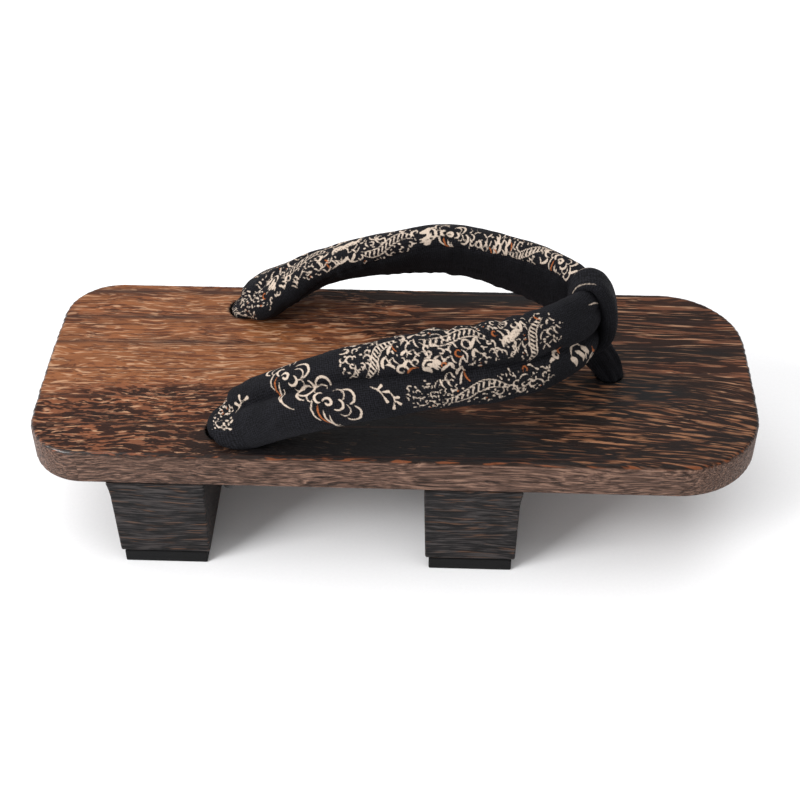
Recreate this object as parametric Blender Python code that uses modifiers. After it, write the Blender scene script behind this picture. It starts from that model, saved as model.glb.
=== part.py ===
"""A geta: a board of scorched wood on two cross teeth, held to the foot by a padded strap in a V.

The board is glued to its two teeth, and each tooth has a rubber tip glued under it. The strap is one
tube of padded cloth. It is folded at the toes, where a cloth loop holds it down, and each of its ends
goes into a hole in front of the rear tooth. Under the board a knotted cord holds each hole's cloth.
"""

import math
from collections import namedtuple

import bmesh
import bpy
import numpy as np
from mathutils import Vector

# Sizes in metres. +X points to the toes, +Y to the wearer's left and +Z up. The floor is z = 0, and
# the origin is on it, under the middle of the board.

# The clearance that every two neighbouring pieces keep, such as a line of glue
GAP = 0.0003

# Board
BOARD_LENGTH = 0.260
BOARD_WIDTH = 0.098
BOARD_THICKNESS = 0.0140
HEEL_CORNER_RADIUS = 0.020
TOE_CORNER_RADIUS = 0.030
END_BULGE = 0.0015
BOARD_EDGE_ROUND = 0.0016

# Teeth, each a block as wide as the board that narrows to the floor. Its outer side, which faces the
# heel or the toe end, is hollowed under the board.
TOOTH_HEIGHT = 0.0342
TOOTH_LENGTH = 0.0340
TOOTH_TAPER = 0.0006
TOOTH_EDGE_ROUND = 0.0007
TOOTH_FLARE = 0.0010
TOOTH_FLARE_HEIGHT = 0.0090
HEEL_OVERHANG = 0.0296
TOE_OVERHANG = 0.0847

# Rubber tips
TIP_THICKNESS = 0.0052
TIP_INSET = 0.0013
TIP_EDGE_ROUND = 0.0005

# Holes for the strap and the toe loop, with a countersunk mouth
HOLE_RADIUS = 0.0060
HOLE_MOUTH = 0.0018
HOLE_TO_TOOTH = 0.0004
REAR_HOLE_TO_SIDE = 0.0145
FRONT_HOLE_TO_END = 0.0522
NECK_CLEARANCE = 0.0007
NECK_DEPTH = 0.0060

# Strap
STRAP_WIDTH = 0.0280
STRAP_THICKNESS = 0.0138
STRAP_RISE = 0.0300
STRAP_FOLD_SETBACK = 0.0078
STRAP_CREASE_DEPTH = 0.0017
STRAP_CREASE_WIDTH = 0.0052

# Toe loop
LOOP_WIDTH = 0.0120
LOOP_THICKNESS = 0.0028
LOOP_WAIST = 0.4
LOOP_FOOT_LENGTH = 0.0128
LOOP_FOOT_WIDTH = 0.0108

# Cords and their knots, under the board
CORD_RADIUS = 0.0030
KNOT_RADIUS = 0.0080
KNOT_HEIGHT = 0.0110
KNOT_RIDGE = 0.0005

# Heights that follow from the sizes above
TOOTH_BOTTOM = TIP_THICKNESS + GAP
TOOTH_TOP = TOOTH_BOTTOM + TOOTH_HEIGHT
BOARD_BOTTOM = TOOTH_TOP + GAP
BOARD_TOP = BOARD_BOTTOM + BOARD_THICKNESS

# Places that follow from the sizes above
REAR_TOOTH_X = -BOARD_LENGTH / 2 + HEEL_OVERHANG + TOOTH_LENGTH / 2
FRONT_TOOTH_X = BOARD_LENGTH / 2 - TOE_OVERHANG - TOOTH_LENGTH / 2
REAR_HOLE_X = REAR_TOOTH_X + TOOTH_LENGTH / 2 + HOLE_TO_TOOTH + HOLE_RADIUS
REAR_HOLE_Y = BOARD_WIDTH / 2 - REAR_HOLE_TO_SIDE
FRONT_HOLE_X = BOARD_LENGTH / 2 - FRONT_HOLE_TO_END
STRAP_FOLD_X = FRONT_HOLE_X - STRAP_FOLD_SETBACK
NECK_RADIUS = HOLE_RADIUS - NECK_CLEARANCE
HOLE_PLACES = (
    ("front", FRONT_HOLE_X, 0.0),
    ("rear_left", REAR_HOLE_X, REAR_HOLE_Y),
    ("rear_right", REAR_HOLE_X, -REAR_HOLE_Y),
)

# One side of the strap, from where it leaves its rear hole to the fold at the toes. along is a share
# of the way from the hole to the fold, spread of the hole's distance from the middle, and rise of
# STRAP_RISE above the board. lean turns the strap from lying flat at 0 to standing on edge at 90
# degrees. width and thickness are shares of the strap's own.
StrapRow = namedtuple("StrapRow", "along spread rise lean width thickness")
STRAP_ROWS = (
    StrapRow(0.007, 1.000, 0.072, 12, 0.58, 0.76),
    StrapRow(0.019, 1.012, 0.112, 22, 0.82, 0.78),
    StrapRow(0.040, 1.030, 0.165, 28, 1.00, 0.85),
    StrapRow(0.072, 1.045, 0.240, 29, 1.05, 0.95),
    StrapRow(0.115, 1.065, 0.346, 28, 1.03, 1.00),
    StrapRow(0.231, 1.105, 0.607, 30, 0.99, 1.00),
    StrapRow(0.423, 1.060, 0.855, 50, 0.97, 1.00),
    StrapRow(0.615, 0.983, 1.000, 64, 0.98, 1.00),
    StrapRow(0.808, 0.722, 0.970, 70, 1.02, 0.99),
    StrapRow(0.938, 0.383, 0.950, 78, 1.01, 0.90),
    StrapRow(0.985, 0.205, 0.960, 81, 0.98, 0.79),
)
FOLD_ROW = StrapRow(1.0, 0.0, 0.965, 82, 0.95, 0.72)

# The toe loop's foot, from beside the fold down to the board. down is a share of the way from the
# fold's middle to the board, forward of the way from the fold to the front hole, and length and width
# are shares of the foot's sizes at the board.
FootRow = namedtuple("FootRow", "down forward length width")
FOOT_ROWS = (
    FootRow(0.24, 0.90, 0.10, 0.80),
    FootRow(0.38, 0.88, 0.26, 1.02),
    FootRow(0.50, 0.66, 0.55, 0.98),
    FootRow(0.65, 0.67, 0.59, 0.92),
    FootRow(0.83, 0.79, 0.76, 0.90),
    FootRow(0.97, 0.98, 0.98, 1.00),
)

# Facets
CORNER_STEPS = 9
END_STEPS = 4
HOLE_STEPS = 28
STRAP_STATIONS = 84
STRAP_STEPS = 28
LOOP_STATIONS = 28
LOOP_STEPS = 16
FOOT_STATIONS = 9
FOOT_STEPS = 24
KNOT_STEPS = 20
KNOT_RINGS = 12

# Fullness of a padded section, where 2 is an ellipse and more is squarer
STRAP_FULLNESS = 2.3
LOOP_FULLNESS = 2.2

SCORCHED_TOP = (0.135, 0.058, 0.028)
SCORCHED_TOOTH = (0.032, 0.024, 0.021)
RUBBER_BLACK = (0.010, 0.010, 0.011)
CLOTH_BLACK = (0.012, 0.012, 0.015)
CORD_BLACK = (0.020, 0.019, 0.019)


def clear_scene():
    """Removes the objects of the startup scene."""
    for obj in list(bpy.data.objects):
        bpy.data.objects.remove(obj)


def new_collection(name):
    collection = bpy.data.collections.new(name)
    bpy.context.scene.collection.children.link(collection)
    return collection


def principled(name, colour, roughness):
    """A plain material of one linear colour."""
    material = bpy.data.materials.new(name)
    material.use_nodes = True
    shader = material.node_tree.nodes["Principled BSDF"]
    shader.inputs["Base Color"].default_value = (*colour, 1.0)
    shader.inputs["Roughness"].default_value = roughness
    shader.inputs["Metallic"].default_value = 0.0
    return material


def add_object(name, mesh, collection, material=None):
    obj = bpy.data.objects.new(name, mesh)
    collection.objects.link(obj)
    if material:
        mesh.materials.append(material)
    return obj


def as_helper(obj):
    """Marks a cutter or a joined form, which is no piece by itself."""
    obj.hide_render = True
    obj.display_type = "WIRE"
    return obj


def flat_solid(name, points, thickness, collection, material):
    """A closed flat outline in XY, extruded by half its thickness to each side of z = 0."""
    outline = bpy.data.curves.new(name + "_outline", "CURVE")
    outline.dimensions = "2D"
    outline.fill_mode = "BOTH"
    outline.extrude = thickness / 2
    spline = outline.splines.new("POLY")
    spline.points.add(len(points) - 1)
    for point, (x, y) in zip(spline.points, points):
        point.co = (x, y, 0.0, 1.0)
    spline.use_cyclic_u = True
    drawn = bpy.data.objects.new(name + "_outline", outline)
    collection.objects.link(drawn)
    graph = bpy.context.evaluated_depsgraph_get()
    mesh = bpy.data.meshes.new_from_object(drawn.evaluated_get(graph))
    bpy.data.objects.remove(drawn)
    shape = bmesh.new()
    shape.from_mesh(mesh)
    bmesh.ops.remove_doubles(shape, verts=shape.verts, dist=1e-6)
    bmesh.ops.dissolve_limit(
        shape, angle_limit=math.radians(1), verts=shape.verts, edges=shape.edges
    )
    bmesh.ops.recalc_face_normals(shape, faces=shape.faces)
    shape.to_mesh(mesh)
    shape.free()
    mesh.name = name
    return add_object(name, mesh, collection, material)


def lofted(name, rings, is_loop, collection, material=None):
    """A solid through rings of equally many points, closed by a face at each end or into a loop."""
    shape = bmesh.new()
    loops = [[shape.verts.new(point) for point in ring] for ring in rings]
    steps = len(rings[0])
    spans = list(zip(loops, loops[1:]))
    if is_loop:
        spans.append((loops[-1], loops[0]))
    for ring, following in spans:
        for i in range(steps):
            j = (i + 1) % steps
            shape.faces.new((ring[i], ring[j], following[j], following[i]))
    if not is_loop:
        shape.faces.new(reversed(loops[0]))
        shape.faces.new(loops[-1])
    bmesh.ops.recalc_face_normals(shape, faces=shape.faces)
    mesh = bpy.data.meshes.new(name)
    shape.to_mesh(mesh)
    shape.free()
    mesh.shade_smooth()
    return add_object(name, mesh, collection, material)


def add_edge_round(obj, radius, segments):
    bevel = obj.modifiers.new("edge_round", "BEVEL")
    bevel.width = radius
    bevel.segments = segments
    bevel.limit_method = "ANGLE"
    bevel.angle_limit = math.radians(40)


def add_boolean(obj, other, operation):
    boolean = obj.modifiers.new(other.name, "BOOLEAN")
    boolean.object = other
    boolean.operation = operation
    boolean.solver = "EXACT"


def smooth_rows(keys, rows, wanted):
    """Rows of numbers read between given ones, on a smooth curve that never overshoots them."""
    keys = np.asarray(keys)
    rows = np.asarray(rows)
    spans = np.diff(keys)[:, None]
    rises = np.diff(rows, axis=0) / spans
    before, after = rises[:-1], rises[1:]
    pull_before = 2 * spans[1:] + spans[:-1]
    pull_after = spans[1:] + 2 * spans[:-1]
    is_turn = before * after <= 0
    safe_before = np.where(is_turn, 1.0, before)
    safe_after = np.where(is_turn, 1.0, after)
    slopes = np.zeros_like(rows)
    slopes[1:-1] = (pull_before + pull_after) / (pull_before / safe_before + pull_after / safe_after)
    slopes[1:-1][is_turn] = 0.0
    made = []
    for key in wanted:
        i = min(max(int(np.searchsorted(keys, key)) - 1, 0), len(keys) - 2)
        span = keys[i + 1] - keys[i]
        t = (key - keys[i]) / span
        made.append(
            (2 * t**3 - 3 * t**2 + 1) * rows[i]
            + (t**3 - 2 * t**2 + t) * span * slopes[i]
            + (3 * t**2 - 2 * t**3) * rows[i + 1]
            + (t**3 - t**2) * span * slopes[i + 1]
        )
    return np.array(made)


def even_stations(rows, count):
    """Rows whose first three numbers are a place, read again at equal steps of the way along them."""
    rows = np.asarray(rows, float)
    steps = np.linalg.norm(np.diff(rows[:, :3], axis=0), axis=1)
    keys = np.concatenate(([0.0], np.cumsum(steps)))
    return smooth_rows(keys, rows, np.linspace(0.0, keys[-1], count))


def padded_section(half_width, half_thickness, steps, fullness):
    """Points (across, out) round a padded section."""
    points = []
    for step in range(steps):
        turn = 2 * math.pi * step / steps
        across = math.copysign(abs(math.cos(turn)) ** (2 / fullness), math.cos(turn))
        out = math.copysign(abs(math.sin(turn)) ** (2 / fullness), math.sin(turn))
        points.append((half_width * across, half_thickness * out))
    return points


def rest_on_board(point):
    """Lifts a point of cloth that would lie in the board's wood."""
    return Vector((point.x, point.y, max(point.z, BOARD_TOP + GAP)))


def board_outline():
    """The board seen from above, from the middle of the toe end round by the left side."""

    def end_x(y, sign):
        return sign * (BOARD_LENGTH / 2 - END_BULGE * (2 * y / BOARD_WIDTH) ** 2)

    def half(sign, radius):
        straight = BOARD_WIDTH / 2 - radius
        edge = [
            (end_x(straight * i / END_STEPS, sign), straight * i / END_STEPS)
            for i in range(END_STEPS)
        ]
        centre_x = end_x(straight, sign) - sign * radius
        for i in range(CORNER_STEPS + 1):
            turn = math.pi / 2 * i / CORNER_STEPS
            edge.append(
                (centre_x + sign * radius * math.cos(turn), straight + radius * math.sin(turn))
            )
        return edge

    left = half(1, TOE_CORNER_RADIUS) + half(-1, HEEL_CORNER_RADIUS)[::-1]
    return left + [(x, -y) for x, y in left[-2:0:-1]]


def hole_cutter(name, x, y, collection):
    """A hole with a countersunk mouth, as a profile turned about the hole's axis."""
    mouth = HOLE_RADIUS + HOLE_MOUTH + GAP
    profile = (
        (0.0, BOARD_TOP + GAP),
        (mouth, BOARD_TOP + GAP),
        (HOLE_RADIUS, BOARD_TOP - HOLE_MOUTH),
        (HOLE_RADIUS, BOARD_BOTTOM - HOLE_MOUTH),
        (0.0, BOARD_BOTTOM - HOLE_MOUTH),
    )
    mesh = bpy.data.meshes.new(name)
    mesh.from_pydata(
        [(radius, 0.0, z) for radius, z in profile],
        [(i, i + 1) for i in range(len(profile) - 1)],
        [],
    )
    cutter = add_object(name, mesh, collection)
    cutter.location = (x, y, 0.0)
    screw = cutter.modifiers.new("turn", "SCREW")
    screw.steps = HOLE_STEPS
    screw.render_steps = HOLE_STEPS
    screw.use_merge_vertices = True
    screw.merge_threshold = 0.0001
    return as_helper(cutter)


def make_board(parts, cutters):
    board = flat_solid(
        "board", board_outline(), BOARD_THICKNESS, parts, principled("board_wood", SCORCHED_TOP, 0.45)
    )
    board.location.z = (BOARD_BOTTOM + BOARD_TOP) / 2
    add_edge_round(board, BOARD_EDGE_ROUND, 2)
    for place, x, y in HOLE_PLACES:
        add_boolean(board, hole_cutter("hole_" + place, x, y, cutters), "DIFFERENCE")
    return board


def tooth_profile(outer):
    """A tooth seen from its side, as x forward and y up about its middle, with outer 1 or -1."""
    low, high, half = -TOOTH_HEIGHT / 2, TOOTH_HEIGHT / 2, TOOTH_LENGTH / 2
    flare = []
    for share in (0.0, 0.25, 0.5, 0.75):
        height = high - TOOTH_FLARE_HEIGHT * share
        taper = TOOTH_TAPER * (high - height) / TOOTH_HEIGHT
        flare.append((half + TOOTH_FLARE * (1 - share) ** 2 - taper, height))
    lowest = ((half - TOOTH_TAPER, low), (-half + TOOTH_TAPER, low))
    return [(outer * x, y) for x, y in (*flare, *lowest, (-half, high))]


def make_tooth(name, x, outer, parts, material):
    tooth = flat_solid(name, tooth_profile(outer), BOARD_WIDTH, parts, material)
    tooth.rotation_euler.x = math.pi / 2
    tooth.location = (x, 0.0, (TOOTH_BOTTOM + TOOTH_TOP) / 2)
    add_edge_round(tooth, TOOTH_EDGE_ROUND, 2)
    return tooth


def make_tip(name, x, parts, material):
    """A rubber pad, as wide as the tooth above it and a little shorter."""
    half_length = TOOTH_LENGTH / 2 - TOOTH_TAPER - TIP_INSET
    corners = ((1, 1), (-1, 1), (-1, -1), (1, -1))
    outline = [(half_length * i, BOARD_WIDTH / 2 * j) for i, j in corners]
    tip = flat_solid(name, outline, TIP_THICKNESS, parts, material)
    tip.location = (x, 0.0, TIP_THICKNESS / 2)
    add_edge_round(tip, TIP_EDGE_ROUND, 2)
    return tip


def strap_row_numbers(row, side):
    """(x, y, z, lean, half width, half thickness) of a row of the strap's table, on one side."""
    return (
        REAR_HOLE_X + (STRAP_FOLD_X - REAR_HOLE_X) * row.along,
        side * REAR_HOLE_Y * row.spread,
        BOARD_TOP + STRAP_RISE * row.rise,
        row.lean,
        STRAP_WIDTH / 2 * row.width,
        STRAP_THICKNESS / 2 * row.thickness,
    )


def strap_rows():
    """The strap's rows from its right hole round the fold to its left hole."""
    right = [strap_row_numbers(row, -1) for row in STRAP_ROWS]
    left = [strap_row_numbers(row, 1) for row in reversed(STRAP_ROWS)]
    return right + [strap_row_numbers(FOLD_ROW, 1)] + left


def neck_ring(side, height):
    """The strap's round neck in one of the rear holes, at a height."""
    centre = Vector((REAR_HOLE_X, side * REAR_HOLE_Y, height))
    round_neck = padded_section(NECK_RADIUS, NECK_RADIUS, STRAP_STEPS, 2.0)
    return [centre + Vector((-out, -side * across, 0.0)) for across, out in round_neck]


def crease_depth(across, half_width):
    """How far the crease along the middle of the strap's outer face goes in."""
    fade = min(1.0, max(0.0, half_width / (STRAP_WIDTH / 2) - 0.6) / 0.3)
    return STRAP_CREASE_DEPTH * fade * math.exp(-((2 * across / STRAP_CREASE_WIDTH) ** 2))


def strap_rings():
    stations = even_stations(strap_rows(), STRAP_STATIONS)
    tangents = np.gradient(stations[:, :3], axis=0)
    heights = (BOARD_TOP - NECK_DEPTH, BOARD_TOP + GAP)
    rings = [neck_ring(-1, height) for height in heights]
    for i, (x, y, z, lean, half_width, half_thickness) in enumerate(stations):
        along = Vector(tangents[i]).normalized()
        heading = Vector((along.x, along.y, 0.0)).normalized()
        inward = Vector((0.0, 0.0, 1.0)).cross(heading)
        over = along.cross(inward).normalized()
        turn = math.radians(lean)
        across_axis = inward * math.cos(turn) + over * math.sin(turn)
        out_axis = over * math.cos(turn) - inward * math.sin(turn)
        ring = []
        for across, out in padded_section(half_width, half_thickness, STRAP_STEPS, STRAP_FULLNESS):
            if out > 0:
                out -= crease_depth(across, half_width)
            ring.append(rest_on_board(Vector((x, y, z)) + across_axis * across + out_axis * out))
        rings.append(ring)
    return rings + [neck_ring(1, height) for height in reversed(heights)]


def make_strap(parts, material):
    return lofted("strap", strap_rings(), False, parts, material)


def loop_rings():
    """The band round the strap's fold, narrower where it lies in the fold's inner corner."""
    x, _, z, lean, half_width, half_thickness = strap_row_numbers(FOLD_ROW, 0)
    turned = math.radians(lean)
    up_axis = Vector((-math.cos(turned), 0.0, math.sin(turned)))
    front_axis = Vector((math.sin(turned), 0.0, math.cos(turned)))
    fold = padded_section(half_thickness, half_width, LOOP_STATIONS, STRAP_FULLNESS)
    rings = []
    for station, (front, up) in enumerate(fold):
        turn = 2 * math.pi * station / LOOP_STATIONS
        before, after = Vector(fold[station - 1]), Vector(fold[(station + 1) % LOOP_STATIONS])
        outward = Vector((after.y - before.y, before.x - after.x)).normalized()
        out_axis = front_axis * outward.x + up_axis * outward.y
        middle = Vector((x, 0.0, z)) + front_axis * front + up_axis * up
        middle += out_axis * (GAP + LOOP_THICKNESS / 2)
        half_loop = LOOP_WIDTH / 2 * (LOOP_WAIST + (1 - LOOP_WAIST) * (1 + math.cos(turn)) / 2)
        section = padded_section(half_loop, LOOP_THICKNESS / 2, LOOP_STEPS, LOOP_FULLNESS)
        rings.append([middle + Vector((0.0, y, 0.0)) + out_axis * r for y, r in section])
    return rings


def foot_rings():
    """The loop's foot, from the band down into the front hole."""
    _, _, middle, _, _, _ = strap_row_numbers(FOLD_ROW, 0)
    rows = []
    for row in FOOT_ROWS:
        rows.append(
            (
                STRAP_FOLD_X + (FRONT_HOLE_X - STRAP_FOLD_X) * row.forward,
                0.0,
                middle + (BOARD_TOP - middle) * row.down,
                LOOP_FOOT_LENGTH / 2 * row.length,
                LOOP_FOOT_WIDTH / 2 * row.width,
            )
        )
    rings = []
    for x, y, height, half_length, half_foot in even_stations(rows, FOOT_STATIONS):
        section = padded_section(half_length, half_foot, FOOT_STEPS, 2.0)
        rings.append([rest_on_board(Vector((x + u, y + v, height))) for u, v in section])
    for height in (BOARD_TOP + GAP, BOARD_TOP - NECK_DEPTH):
        neck = padded_section(NECK_RADIUS, NECK_RADIUS, FOOT_STEPS, 2.0)
        rings.append([Vector((FRONT_HOLE_X + u, v, height)) for u, v in neck])
    return rings


def make_toe_loop(parts, cutters, material):
    loop = lofted("toe_loop", loop_rings(), True, parts, material)
    foot = as_helper(lofted("toe_loop_foot", foot_rings(), False, cutters))
    add_boolean(loop, foot, "UNION")
    return loop


def circle(radius, height, shift, ridge=0.0, phase=0.0):
    """Points round the Z axis, moved forward by shift, with three ridges where the knot turns."""
    points = []
    for i in range(KNOT_STEPS):
        turn = 2 * math.pi * i / KNOT_STEPS
        reach = radius + ridge * math.cos(3 * turn + phase)
        points.append(Vector((shift + reach * math.cos(turn), reach * math.sin(turn), height)))
    return points


def knot_rings(shift):
    """A knot under a hole, with the stub of cord that goes up into the hole above it."""
    knot_top = BOARD_BOTTOM - GAP
    rings = [
        circle(CORD_RADIUS, BOARD_TOP - NECK_DEPTH - GAP, 0.0),
        circle(CORD_RADIUS, BOARD_BOTTOM, 0.0),
    ]
    start = math.asin(CORD_RADIUS / KNOT_RADIUS)
    for step in range(KNOT_RINGS):
        fall = start + (math.pi - 1.5 * start) * step / (KNOT_RINGS - 1)
        height = knot_top - KNOT_HEIGHT * (1 - math.cos(fall)) / 2
        ridge = KNOT_RIDGE * math.sin(fall)
        rings.append(circle(KNOT_RADIUS * math.sin(fall), height, shift, ridge, 2 * fall))
    return rings


def make_knots(parts, material):
    """A knotted cord under each hole. The rear ones sit forward of their holes, clear of the tooth."""
    rear_shift = KNOT_RADIUS + KNOT_RIDGE + GAP - (HOLE_RADIUS + HOLE_TO_TOOTH)
    for place, x, y in HOLE_PLACES:
        shift = rear_shift if place.startswith("rear") else 0.0
        knot = lofted("knot_" + place, knot_rings(shift), False, parts, material)
        knot.location = (x, y, 0.0)


def main():
    clear_scene()
    parts = new_collection("Geta")
    cutters = new_collection("Cutters")
    make_board(parts, cutters)
    tooth_wood = principled("tooth_wood", SCORCHED_TOOTH, 0.55)
    tip_rubber = principled("tip_rubber", RUBBER_BLACK, 0.7)
    for name, x, outer in (("rear", REAR_TOOTH_X, -1), ("front", FRONT_TOOTH_X, 1)):
        make_tooth(name + "_tooth", x, outer, parts, tooth_wood)
        make_tip(name + "_tip", x, parts, tip_rubber)
    make_strap(parts, principled("strap_cloth", CLOTH_BLACK, 0.85))
    make_toe_loop(parts, cutters, principled("loop_cloth", CLOTH_BLACK, 0.9))
    make_knots(parts, principled("cord", CORD_BLACK, 0.8))


main()
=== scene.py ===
"""The looks of a geta: scorched, brushed wood, rubber tips, a padded printed strap and its toe loop.

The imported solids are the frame. The board, the strap, the toe loop and the knots are replaced by finer
pieces in the same space, and the teeth and their tips keep their solids and get their finishes.
"""

import logging
import math
from dataclasses import dataclass
from enum import Enum
from typing import NamedTuple

import bmesh
import bpy
import numpy as np
from mathutils import Matrix, Vector


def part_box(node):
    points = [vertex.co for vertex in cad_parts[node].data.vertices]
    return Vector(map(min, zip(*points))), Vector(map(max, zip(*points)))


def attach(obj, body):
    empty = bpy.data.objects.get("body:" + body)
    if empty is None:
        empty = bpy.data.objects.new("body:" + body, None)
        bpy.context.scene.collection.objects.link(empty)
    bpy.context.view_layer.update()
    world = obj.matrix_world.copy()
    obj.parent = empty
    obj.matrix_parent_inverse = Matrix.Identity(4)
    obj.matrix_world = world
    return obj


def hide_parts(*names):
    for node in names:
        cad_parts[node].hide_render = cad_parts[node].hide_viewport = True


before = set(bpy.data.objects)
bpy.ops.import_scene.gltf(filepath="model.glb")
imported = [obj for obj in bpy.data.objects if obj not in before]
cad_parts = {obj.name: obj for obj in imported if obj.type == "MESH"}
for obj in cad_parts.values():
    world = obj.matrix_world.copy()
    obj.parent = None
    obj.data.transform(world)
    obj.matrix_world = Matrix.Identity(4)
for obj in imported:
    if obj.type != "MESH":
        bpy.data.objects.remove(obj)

LOG = logging.getLogger("geta")
MM = 0.001
ROOT = "root"

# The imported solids' clearance, heights and hole places in millimetres, which the finer pieces keep
GAP = 0.3
BOARD_TOP = 54.0
BOARD_BOTTOM = 40.0
HOLES = ((77.8, 0.0), (-60.0, 34.5), (-60.0, -34.5))

# The holes' radii, without the wide mouths of the solid's, so that the cloth nearly fills them
HOLE_RADII = (4.8, 6.1, 6.1)

# The printed depth of cloth without ink, in millimetres
NO_INK = -1.0

Colour = tuple[float, float, float, float]
Socket = bpy.types.NodeSocket


def linear(code: str) -> Colour:
    """Turns an sRGB hex code into linear red, green, blue and alpha.

    Args:
        code: Six hex digits after a hash.

    Returns:
        The linear colour, with an alpha of 1.
    """
    parts = [int(code[i : i + 2], 16) / 255 for i in (1, 3, 5)]
    red, green, blue = (p / 12.92 if p <= 0.04045 else ((p + 0.055) / 1.055) ** 2.4 for p in parts)
    return (red, green, blue, 1.0)


class Graph:
    """The nodes of one material, with a Principled shader at their end."""

    def __init__(self, name: str) -> None:
        """Starts an empty material of that name."""
        self.material = bpy.data.materials.new(name)
        self.material.use_nodes = True
        self.tree = self.material.node_tree
        self.shader = self.tree.nodes["Principled BSDF"]

    def add(self, kind: str, inputs: dict | tuple = (), out: int | str = 0, **settings: object) -> Socket:
        """Adds a node with its settings, values and links.

        Args:
            kind: The node's type, without its ShaderNode prefix.
            inputs: Values or sockets by the input's name or number, or in order from the first.
            out: The output that is handed back.
            settings: The node's own settings. stops holds a ramp's (place, colour) pairs.

        Returns:
            The wanted output of the new node.
        """
        node = self.tree.nodes.new("ShaderNode" + kind)
        stops = settings.pop("stops", None)
        for name, value in settings.items():
            setattr(node, name, value)
        if stops:
            ramp = node.color_ramp.elements
            while len(ramp) < len(stops):
                ramp.new(1.0)
            for element, (place, colour) in zip(ramp, stops):
                element.position = place
                element.color = linear(colour)
        self.feed(node, inputs)
        return node.outputs[out]

    def grain(
        self, place: Socket, length: float, width: float, detail: float, rough: float = 0.5, out: int | str = 0
    ) -> Socket:
        """Noise drawn out along the board, whose marks have that length and width in millimetres."""
        drawn = self.add("VectorMath", (place, (1 / length, 1 / width, 1 / width)), operation="MULTIPLY")
        return self.add("TexNoise", {"Vector": drawn, "Scale": 1.0, "Detail": detail, "Roughness": rough}, out=out)

    def feed(self, node: bpy.types.Node, inputs: dict | tuple) -> None:
        """Sets or links a node's inputs.

        Args:
            node: The node that takes them.
            inputs: Values or sockets by the input's name or number, or in order from the first.
        """
        for name, value in inputs.items() if isinstance(inputs, dict) else enumerate(inputs):
            if isinstance(value, Socket):
                self.tree.links.new(value, node.inputs[name])
            else:
                node.inputs[name].default_value = value

    def finish(self, **inputs: object) -> bpy.types.Material:
        """Sets the shader's inputs, with underscores for the spaces in their names."""
        self.feed(self.shader, {name.replace("_", " "): value for name, value in inputs.items()})
        return self.material


class ScorchAndStrapShade(NamedTuple):
    """A darker place on the board, in millimetres from the board's middle: where the burner stayed longer, and by the
    straps also painted strap shadow.
    """

    x: float
    y: float
    half_length: float
    half_width: float
    strength: float
    soft: float


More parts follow.
